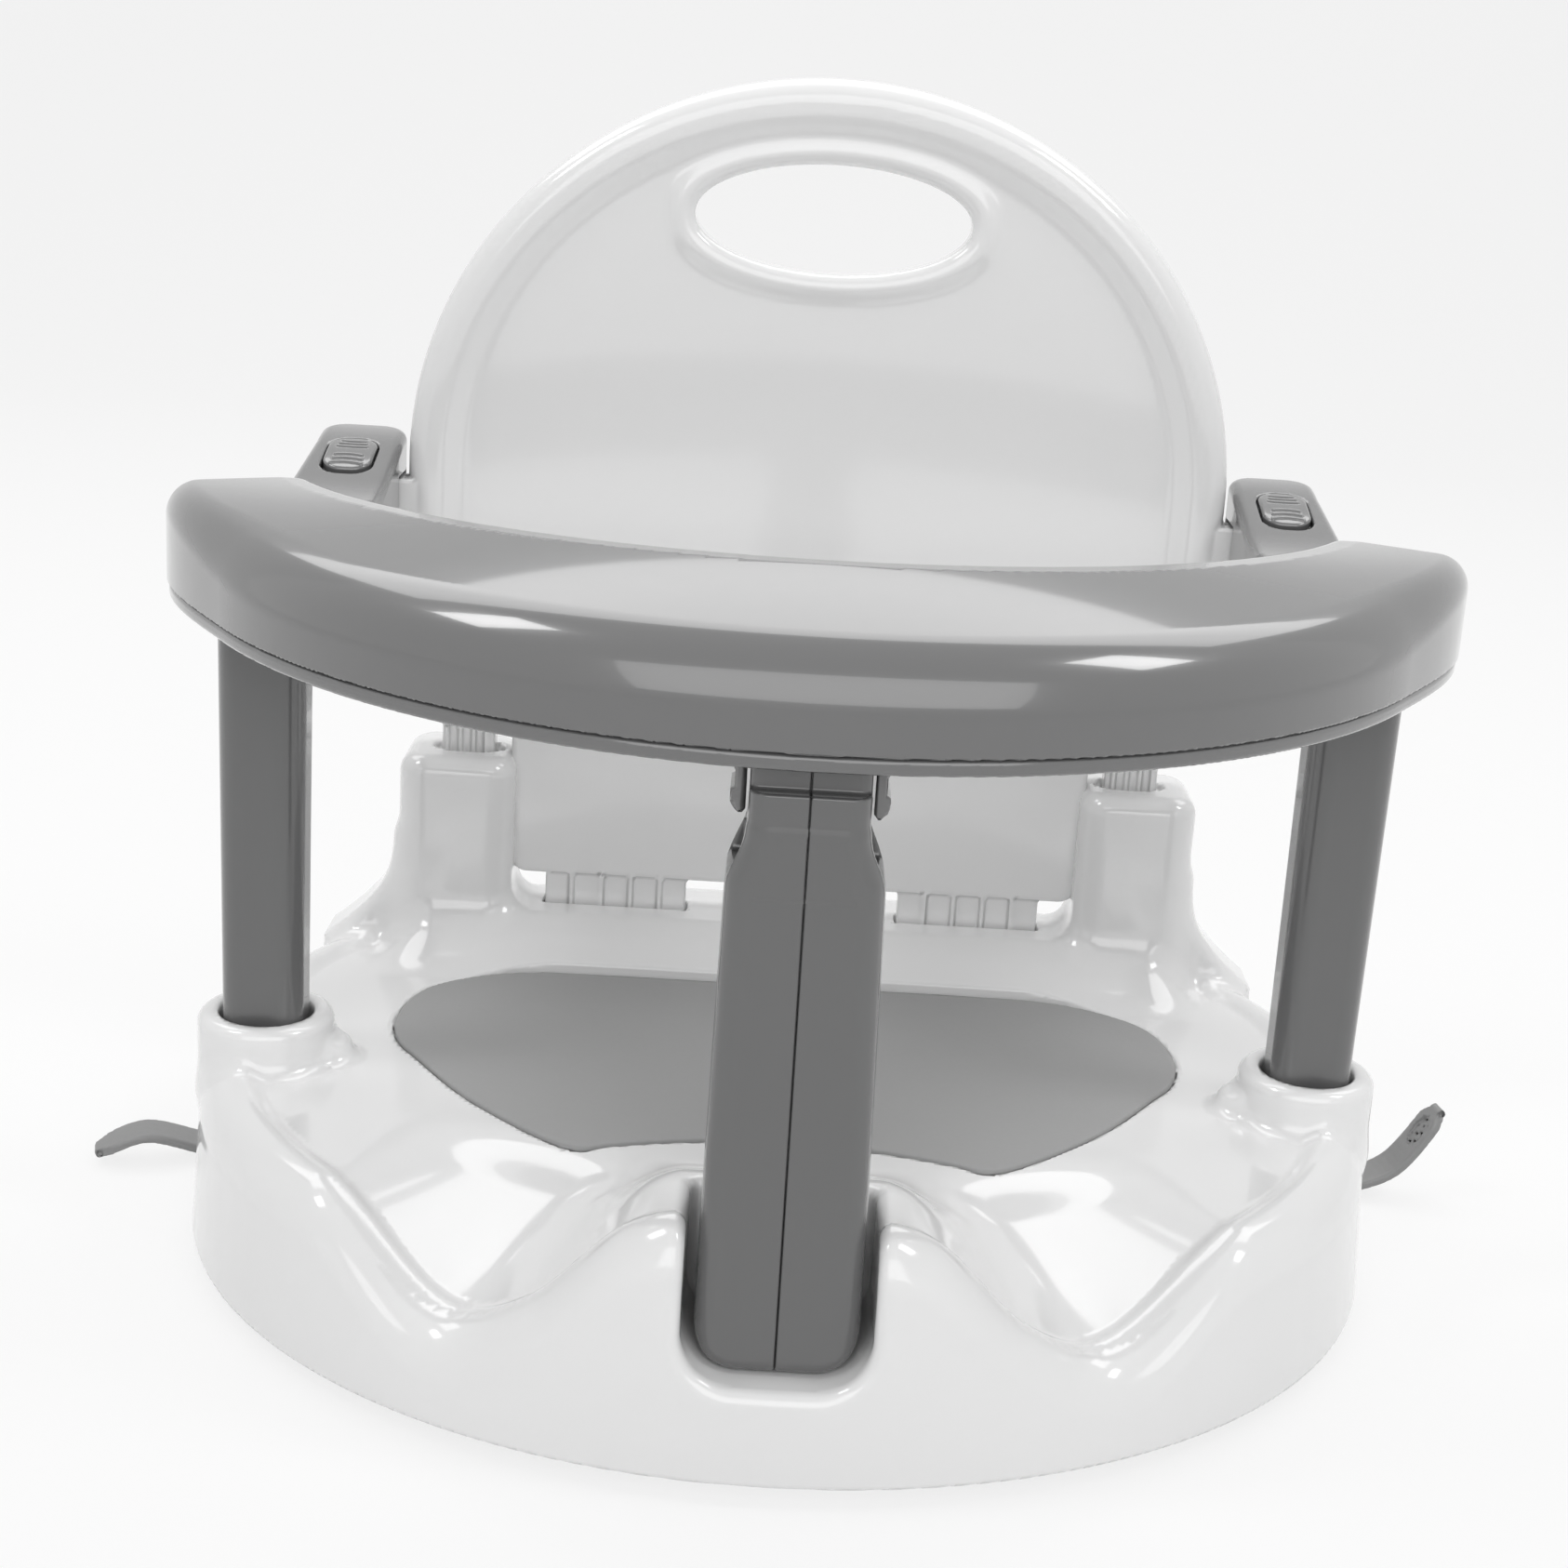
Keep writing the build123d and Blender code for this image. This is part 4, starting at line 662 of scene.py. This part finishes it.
mesh_of(
    "bar_moulding",
    bar_field,
    (-177, -129.5, 183.5),
    (177, 12.5, 219),
    1.3,
    "guard",
    "bar_top_shell",
    GREY,
)
mesh_of(
    "bar_underside",
    cover_field,
    (-176, -129, 166.5),
    (176, 12, 184.5),
    (1.3, 1.3, 0.8),
    "guard",
    "bar_bottom_cover",
    GREY,
)


# Side posts
SIDE_HALF, SIDE_CORNER, SIDE_BOTTOM, SIDE_TOP = (11.3, 10.2), 6.5, 33, 180
SIDE_GAIN, SIDE_GAIN_LOW, SIDE_GAIN_RUN = 0.7, 73, 107


def side_post_field(side):
    def field(x, y, z):
        grow = SIDE_GAIN * np.clip((z - SIDE_GAIN_LOW) / SIDE_GAIN_RUN, 0, 1)
        d = rect(x - side * SIDE_POST_X, y, *SIDE_HALF, SIDE_CORNER) - grow
        return both(d, slab(z, SIDE_BOTTOM, SIDE_TOP), 0.8)

    return field


for name, side in SIDES.items():
    mesh_of(
        f"side_post_moulding_{name}",
        side_post_field(side),
        (side * SIDE_POST_X - 12.5, -11.5, 32),
        (side * SIDE_POST_X + 12.5, 11.5, 181),
        (0.9, 0.9, 2.5),
        "guard",
        f"side_post_{name}",
        DARK,
    )


# Arms and buttons
LEAN = radians(15)
ARM_LOW, ARM_HIGH, RAMP_FROM_Y, RAMP_BLEND = 198.0, 210, 67.2, 3.0
BUTTON_X, BUTTON_Y = 141, 94
BUTTON_Z = ARM_HIGH - 18 * tan(LEAN)
ARM_OUTSIDE = [(166, 12), (157, 60), (153.5, 104), (153.5, 140), (120, 140), (120, 12)]
ARM_INSIDE = [(170, 12), (170, 140), (127, 140), (127, 60), (137, 12)]
ARM_LINE = [(166, 12), (157, 60), (153.5, 104), (153.5, 122), (127, 122), (127, 60), (137, 12)]
ARM_X, ARM_FRONT, ARM_REAR, ARM_TOP = (127, 166), 12, 122, 211
ARM_MIDDLE_X, ARM_MIDDLE_Y, ARM_HALF, ARM_CORNER = 140.25, 62, 60, 9
ARM_COVER_BOTTOM, ARM_SEAM = 184, 186.6
WINDOW_V, WINDOW_HALF, WINDOW_CORNER, WINDOW_DEPTH = -1.25, (7.7, 12.35), 6.5, 3.2
KEEPER_MOUTH_HALF, KEEPER_MOUTH_X, KEEPER_MOUTH_TOP = 6.8, 136.8, 197.8
BUTTON_HALF, BUTTON_CORNER, BUTTON_CROWN, CROWN_BEND = (7.35, 10.75), 6.1, 0.9, 0.006
RIDGE_HALF = 5.0
# Ridges in front and behind: places along the ramp, bow, radius, and what each row loses in half length
RIDGES = (
    ((-7.4, -4.9, -2.4), -0.035, 0.75, 0.3),
    ((2.8, 5.0, 7.2), 0.012, 0.65, 0.5),
)


def arm_top(y):
    """Height of the arm: level, then a ramp, then level again."""
    ramp = ARM_LOW + (y - RAMP_FROM_Y) * tan(LEAN)
    return soft(ARM_HIGH, -soft(-ARM_LOW, -ramp, RAMP_BLEND), RAMP_BLEND)


def on_ramp(sx, y, z):
    """Places across the ramp, along it and out of it, from the middle of the button."""
    dy, dz = y - BUTTON_Y, z - BUTTON_Z
    return sx - BUTTON_X, dy * cos(LEAN) + dz * sin(LEAN), -dy * sin(LEAN) + dz * cos(LEAN)


def keeper_mouth(sx, y):
    """Distances to the sides and the inner end of the mouth that an arm has for the keeper."""
    return np.abs(y - BACK_Y) - KEEPER_MOUTH_HALF, sx - KEEPER_MOUTH_X


def arm_field(side):
    def field(x, y, z):
        sx = side * x
        plan = both(polygon(sx, y, ARM_OUTSIDE), polygon(sx, y, ARM_INSIDE))
        ends = rect(sx - ARM_MIDDLE_X, y - ARM_MIDDLE_Y, ARM_HALF, ARM_HALF)
        d = both(both(plan, ends, ARM_CORNER), (z - arm_top(y)) * 0.97, 3)
        d = both(d, ARM_SEAM - z, 0.6)
        u, v, w = on_ramp(sx, y, z)
        window = rect(u, v - WINDOW_V, *WINDOW_HALF, WINDOW_CORNER)
        d = cut(d, np.maximum(window, -WINDOW_DEPTH - w), 0.8)
        across, inward = keeper_mouth(sx, y)
        return cut(d, np.maximum(across, np.maximum(inward, z - KEEPER_MOUTH_TOP)), 0.4)

    return field


def arm_cover_field(side):
    def field(x, y, z):
        sx = side * x
        ends = rect(sx - ARM_MIDDLE_X, y - ARM_MIDDLE_Y, ARM_HALF, ARM_HALF - 0.3)
        plan = both(polygon(sx, y, ARM_LINE) + 0.3, ends, 8)
        d = both(plan, slab(z, ARM_COVER_BOTTOM, ARM_SEAM), 0.8)
        return cut(d, np.maximum(*keeper_mouth(sx, y)), 0.4)

    return field


def button_field(side):
    def field(x, y, z):
        u, v, w = on_ramp(side * x, y, z)
        crown = BUTTON_CROWN - CROWN_BEND * v * v
        d = rect(u, v, *BUTTON_HALF, BUTTON_CORNER)
        d = both(d, np.maximum(w - crown, -3 - w), 1.0)
        for rows, bow, radius, loss in RIDGES:
            for i, row in enumerate(rows):
                ridge = np.hypot(v - (row + bow * u * u), (w - crown) * 1.3) - radius
                d = either(d, both(ridge, np.abs(u) - RIDGE_HALF + i * loss, 0.4), 0.3)
        return d

    return field


for name, side in SIDES.items():
    near, far = sorted(side * x for x in ARM_X)
    mesh_of(
        f"arm_moulding_{name}",
        arm_field(side),
        (near, ARM_FRONT, ARM_SEAM),
        (far, ARM_REAR, ARM_TOP),
        0.8,
        "guard",
        f"arm_shell_{name}",
        GREY,
    )
    mesh_of(
        f"arm_underside_{name}",
        arm_cover_field(side),
        (near, ARM_FRONT, ARM_COVER_BOTTOM),
        (far, ARM_REAR, 187),
        (1.0, 1.0, 0.7),
        "guard",
        f"arm_cover_{name}",
        GREY,
    )
    mesh_of(
        f"button_moulding_{name}",
        button_field(side),
        (side * BUTTON_X - 8, 82, 198),
        (side * BUTTON_X + 8, 106, 210.5),
        0.4,
        f"button_{name}",
        f"release_button_{name}",
        GREY,
    )


# Backrest
DOME_Z, PANEL_HALF, DOME_RISE = 203, 125, 119
FLANK_Z, FLANK_HALF, FLANK_CORNER = 178.3, 60, 18
FACE_Y, FACE_SINK, BORDER = 99, 3.3, (9.0, 19.0)
BACK_REAR_Y, FACE_ROUND, PANEL_EASE = 113, 7, 0.95
TONGUE_Z, TONGUE_HALF, TONGUE_CORNER, TONGUE_FRONT_Y = 102.5, (91, 30), 6, 102
HANDLE_Z, HANDLE_HALF, HANDLE_ROUND = 281.5, (41, 15.75), 4
LIP_WIDTH, LIP_FRONT_Y = 6, 101.2
ROOM_Y, BORDER_THICK, HANDLE_THICK = 105.5, 3, 3
TONGUE_ROOM_Z, TONGUE_ROOM_HALF = 97, (88, 21.5)
STILE_X, CROSS_RIBS_Z, RIB_HALF = 30, (150, 200), 1.1
KEEPER_X, KEEPER_HALF, KEEPER_BOTTOM, KEEPER_TOP = 129, (7, 6), 176, 197
GROOVE_X, GROOVE_HALF, GROOVE_Y = 132, 2, 102
# Each plug: half sizes of its core, half sizes over the ribs, and the ribs' shift, pitch and half width
PEG_BOTTOM, PEG_ROOT, PEG_PLAN = 88.3, 120, ((8.25, 4), (8.2, 5), 20, 4.1, 0.8)
TAB_BOTTOM, TAB_ROOT, TAB_PLAN = 55.5, 74, ((22.5, 3), (22.5, 4), 47, 9.4, 0.9)


def back_line(x, z):
    """Distance to the outline of the panel, tongue left out."""
    dome = ellipse(x, z - DOME_Z, PANEL_HALF, DOME_RISE)
    flank = rect(x, z - FLANK_Z, PANEL_HALF, FLANK_HALF, FLANK_CORNER)
    return np.where(z > DOME_Z, dome, np.maximum(flank, np.abs(x) - PANEL_HALF))


def ribbed(x, y, half, rib_half, shift, pitch, rib_half_width):
    """Plan of a plug with ribs that stand out in front and behind."""
    rib = np.abs((x + shift) % pitch - pitch / 2) - rib_half_width
    return np.minimum(rect(x, y, *half), np.maximum(rect(x, y, *rib_half), rib))


def back_room(x, y, z, line, handle):
    """Hollow rear of the panel and its tongue, around the stiffening ribs and the handle's wall."""
    ax = np.abs(x)
    room = both(line + BORDER_THICK, ROOM_Y - y, 1)
    room = np.minimum(room, np.maximum(rect(x, z - TONGUE_ROOM_Z, *TONGUE_ROOM_HALF, 3), ROOM_Y - y))
    stile = np.abs(ax - STILE_X) - STILE_X
    room = cut(room, np.abs(stile) - RIB_HALF)
    for rib_z in CROSS_RIBS_Z:
        room = cut(room, np.abs(z - rib_z) - RIB_HALF)
    return cut(room, handle - HANDLE_THICK)


def back_field(x, y, z):
    ax, v = np.abs(x), y - BACK_Y
    line = back_line(x, z)
    face = FACE_Y + FACE_SINK * step01(*BORDER, -line)
    d = both(line, (face - y) * PANEL_EASE, FACE_ROUND)
    d = both(d, y - BACK_REAR_Y, 1.5)
    tongue = rect(x, z - TONGUE_Z, *TONGUE_HALF, TONGUE_CORNER)
    d = either(d, both(tongue, slab(y, TONGUE_FRONT_Y, BACK_REAR_Y), 1.5), 2)
    handle = ellipse(x, z - HANDLE_Z, *HANDLE_HALF)
    lip = both(both(handle - LIP_WIDTH, LIP_FRONT_Y - y, 2), y - BACK_REAR_Y, 1)
    d = soft(d, lip, 4)
    d = cut(d, back_room(x, y, z, line, handle), 0.6)
    d = cut(d, handle, HANDLE_ROUND)
    keeper = both(rect(ax - KEEPER_X, v, *KEEPER_HALF), slab(z, KEEPER_BOTTOM, KEEPER_TOP), 0.8)
    groove = np.maximum(np.abs(ax - GROOVE_X) - GROOVE_HALF, y - GROOVE_Y)
    d = np.minimum(d, cut(keeper, groove, 0.3))
    peg = ribbed(ax - PEG_X, v, *PEG_PLAN)
    d = np.minimum(d, both(peg, slab(z, PEG_BOTTOM, PEG_ROOT), 0.3))
    tab = ribbed(ax - TAB_X, v, *TAB_PLAN)
    return np.minimum(d, both(tab, slab(z, TAB_BOTTOM, TAB_ROOT), 0.3))


mesh_of(
    "backrest_moulding",
    back_field,
    (-137, 98, 55),
    (137, 113.5, 323),
    (1.5, 1.0, 1.5),
    "backrest",
    "backrest_panel",
    WHITE,
)


# Suction cups with their pull tabs
CUP_RADIUS, CUP_SHRINK, CUP_RISE_FROM, CUP_RISE, CUP_BEND = 27, 18.6, 1.5, 13.5, 0.55
CUP_TOP, NECK_RADIUS, HEAD_RADIUS, HEAD_BOTTOM, HEAD_TOP = 18, 4.6, 7, 21, 25
HOLLOW_RADIUS, HOLLOW_DEPTH = 25.5, 5
TAB_WIDTH, TAB_NARROWING, TAB_THICK, TAB_ROUND, TAB_ROOM = 6.5, 0.4, 1.4, 1.1, 7
DENT_FROM_END, DENT_RADIUS, DENT_SQUEEZE, DENT_FLOOR = 8.5, 5.2, 1.55, 0.5


def cup_body(x, y, z, cx, cy):
    """Bell with its hollow, neck and head."""
    r = np.hypot(x - cx, y - cy)
    bell = CUP_RADIUS - CUP_SHRINK * np.clip((z - CUP_RISE_FROM) / CUP_RISE, 0, 1) ** CUP_BEND
    d = both(r - bell, slab(z, 0, CUP_TOP), 0.6)
    hollow = (z - HOLLOW_DEPTH * (1 - np.clip(r / HOLLOW_RADIUS, 0, 1) ** 2)) * 0.9
    d = cut(d, both(hollow, r - HOLLOW_RADIUS), 0.3)
    neck = np.maximum(r - NECK_RADIUS, slab(z, CUP_TOP - 1, HEAD_BOTTOM + 1))
    cone = r - HEAD_RADIUS + np.maximum(z - HEAD_BOTTOM, 0) * 0.6
    head = both(cone, slab(z, HEAD_BOTTOM, HEAD_TOP), 0.5)
    return np.minimum(d, np.minimum(neck, head))


def cup_field(cx, cy, route, dented):
    """Cup with a pull tab along the route, which may be dented near its end for a finger."""
    (ax, ay, _), (bx, by, _) = route[0], route[-1]
    span = sqrt((bx - ax) ** 2 + (by - ay) ** 2)
    dx, dy = (bx - ax) / span, (by - ay) / span
    line = curve_through([((px - ax) * dx + (py - ay) * dy, pz) for px, py, pz in route], 8)
    end = line[-1]

    def field(x, y, z):
        run = (x - ax) * dx + (y - ay) * dy
        across = -(x - ax) * dy + (y - ay) * dx
        gap, share = path_gap(run, z, line)
        left = np.hypot(run - end[0], z - end[1])
        width = TAB_WIDTH - TAB_NARROWING * share
        strap = both(gap - TAB_THICK, np.abs(across) - width, TAB_ROUND)
        tip = np.sqrt(np.maximum(width**2 - np.maximum(width - left, 0) ** 2, 0.01))
        strap = both(strap, np.abs(across) - np.where(left < width, tip, 99), 0.8)
        if dented:
            dent = np.sqrt((left - DENT_FROM_END) ** 2 + (across * DENT_SQUEEZE) ** 2) - DENT_RADIUS
            strap = np.maximum(strap, -np.maximum(dent, DENT_FLOOR - gap))
        return np.minimum(cup_body(x, y, z, cx, cy), strap)

    return field


ROUTES = {
    "front_left": [(-83, -30, 2.5), (-62, -16, 2.5), (-45, -5, 2.5)],
    "front_right": [(83, -30, 2.5), (62, -16, 2.5), (45, -5, 2.5)],
    "rear_left": [(-142, 43, 2.5), (-158, 41, 2.6), (-172, 39, 3.1), (-190, 34, 8.4), (-202.6, 27, 3.4)],
    "rear_right": [(142, 49, 2.5), (158, 52, 2.6), (172, 54, 3.1), (190, 57, 9), (203, 59, 27)],
}
DENTED = ("rear_right",)
for name, route in ROUTES.items():
    end, side = name.split("_")
    cx, cy = CUP_FRONT if end == "front" else CUP_REAR
    cx *= SIDES[side]
    xs = [cx - CUP_RADIUS, cx + CUP_RADIUS] + [p[0] for p in route]
    ys = [cy - CUP_RADIUS, cy + CUP_RADIUS]
    ys += [p[1] + room for p in route for room in (-TAB_ROOM, TAB_ROOM)]
    mesh_of(
        f"cup_{name}",
        cup_field(cx, cy, route, name in DENTED),
        (min(xs) - 2, min(ys), 0),
        (max(xs) + 2, max(ys), max(HEAD_TOP + 1, max(p[2] for p in route) + 2)),
        0.9,
        "base",
        f"suction_cup_{name}",
        RUBBER,
    )


# Floor, backdrop and light, in metres
FLOOR_HALF, BACKDROP_Y, BACKDROP_TOP, BACKDROP_BEND, BEND_STEPS = 6.0, 2.5, 5.0, 1.0, 12
FLOOR_DROP = 0.0005
PALE, PALE_GLOW = (0.85, 0.85, 0.85, 1), 0.8
PURE_WHITE = (1, 1, 1, 1)
WORLD_FILL, WORLD_SEEN = 0.3, 1.0
# Place, target, size and power of each lamp
LAMPS = {
    "overhead": ((0, 0.66, 1.42), (0, -0.08, 0.2), (2.6, 0.8), 15.0),
    "key_left": ((-0.95, -0.2, 1.35), (0, -0.05, 0.15), (0.3, 0.4), 3.2),
    "key_right": ((0.95, -0.25, 1.3), (0, -0.05, 0.15), (0.3, 0.4), 3.2),
    "front": ((0.1, -2.1, 1.3), (0, 0, 0.2), (3.0, 1.6), 26.0),
}


def seen_ray(nodes, links):
    """One for rays from the camera, mirrors and glass, nought for the light on surfaces."""
    path = nodes.new("ShaderNodeLightPath")
    first = nodes.new("ShaderNodeMath")
    first.operation = "MAXIMUM"
    links.new(path.outputs["Is Camera Ray"], first.inputs[0])
    links.new(path.outputs["Is Glossy Ray"], first.inputs[1])
    second = nodes.new("ShaderNodeMath")
    second.operation = "MAXIMUM"
    links.new(first.outputs[0], second.inputs[0])
    links.new(path.outputs["Is Transmission Ray"], second.inputs[1])
    return second.outputs[0]


def pale_floor():
    """Pale floor that shows nearly white and keeps the shadow."""
    m = bpy.data.materials.new("pale_floor")
    m.use_nodes = True
    nodes, links = m.node_tree.nodes, m.node_tree.links
    nodes.clear()
    out = nodes.new("ShaderNodeOutputMaterial")
    pale = nodes.new("ShaderNodeBsdfDiffuse")
    pale.inputs["Color"].default_value = PALE
    white = nodes.new("ShaderNodeEmission")
    white.inputs["Color"].default_value = PURE_WHITE
    white.inputs["Strength"].default_value = 1.0
    glow = nodes.new("ShaderNodeMath")
    glow.operation = "MULTIPLY"
    glow.inputs[1].default_value = PALE_GLOW
    links.new(seen_ray(nodes, links), glow.inputs[0])
    mix = nodes.new("ShaderNodeMixShader")
    links.new(glow.outputs[0], mix.inputs["Fac"])
    links.new(pale.outputs["BSDF"], mix.inputs[1])
    links.new(white.outputs["Emission"], mix.inputs[2])
    links.new(mix.outputs["Shader"], out.inputs["Surface"])
    return m


def put_stage():
    """Level floor that bends up into the backdrop."""
    start = BACKDROP_Y - BACKDROP_BEND
    profile = [(-FLOOR_HALF, 0.0), (start, 0.0)]
    for i in range(1, BEND_STEPS + 1):
        a = i * pi / 2 / BEND_STEPS
        profile.append((start + BACKDROP_BEND * sin(a), BACKDROP_BEND - BACKDROP_BEND * cos(a)))
    profile.append((BACKDROP_Y, BACKDROP_TOP))
    verts = [(x, y, z) for y, z in profile for x in (-FLOOR_HALF, FLOOR_HALF)]
    faces = [(2 * i, 2 * i + 1, 2 * i + 3, 2 * i + 2) for i in range(len(profile) - 1)]
    mesh = bpy.data.meshes.new("floor")
    mesh.from_pydata(verts, [], faces)
    mesh.polygons.foreach_set("use_smooth", [True] * len(mesh.polygons))
    floor = bpy.data.objects.new("floor", mesh)
    floor.location.z = -FLOOR_DROP
    bpy.context.scene.collection.objects.link(floor)
    mesh.materials.append(pale_floor())


def put_lamp(name, place, target, size, power):
    data = bpy.data.lights.new(name, "AREA")
    data.shape = "RECTANGLE"
    data.size, data.size_y = size
    data.energy = power
    lamp = bpy.data.objects.new(name, data)
    lamp.location = place
    aim = Vector(target) - Vector(place)
    lamp.rotation_euler = aim.to_track_quat("-Z", "Y").to_euler()
    bpy.context.scene.collection.objects.link(lamp)


def put_world():
    """Soft fill on surfaces, with white where the camera or a reflection sees past the floor."""
    world = bpy.data.worlds.new("studio")
    bpy.context.scene.world = world
    world.use_nodes = True
    nodes, links = world.node_tree.nodes, world.node_tree.links
    nodes.clear()
    out = nodes.new("ShaderNodeOutputWorld")
    mix = nodes.new("ShaderNodeMixShader")
    links.new(seen_ray(nodes, links), mix.inputs["Fac"])
    for socket, strength in ((1, WORLD_FILL), (2, WORLD_SEEN)):
        glow = nodes.new("ShaderNodeBackground")
        glow.inputs["Color"].default_value = PURE_WHITE
        glow.inputs["Strength"].default_value = strength
        links.new(glow.outputs["Background"], mix.inputs[socket])
    links.new(mix.outputs["Shader"], out.inputs["Surface"])


put_stage()
put_world()
for name, (place, target, size, power) in LAMPS.items():
    put_lamp(name, place, target, size, power)
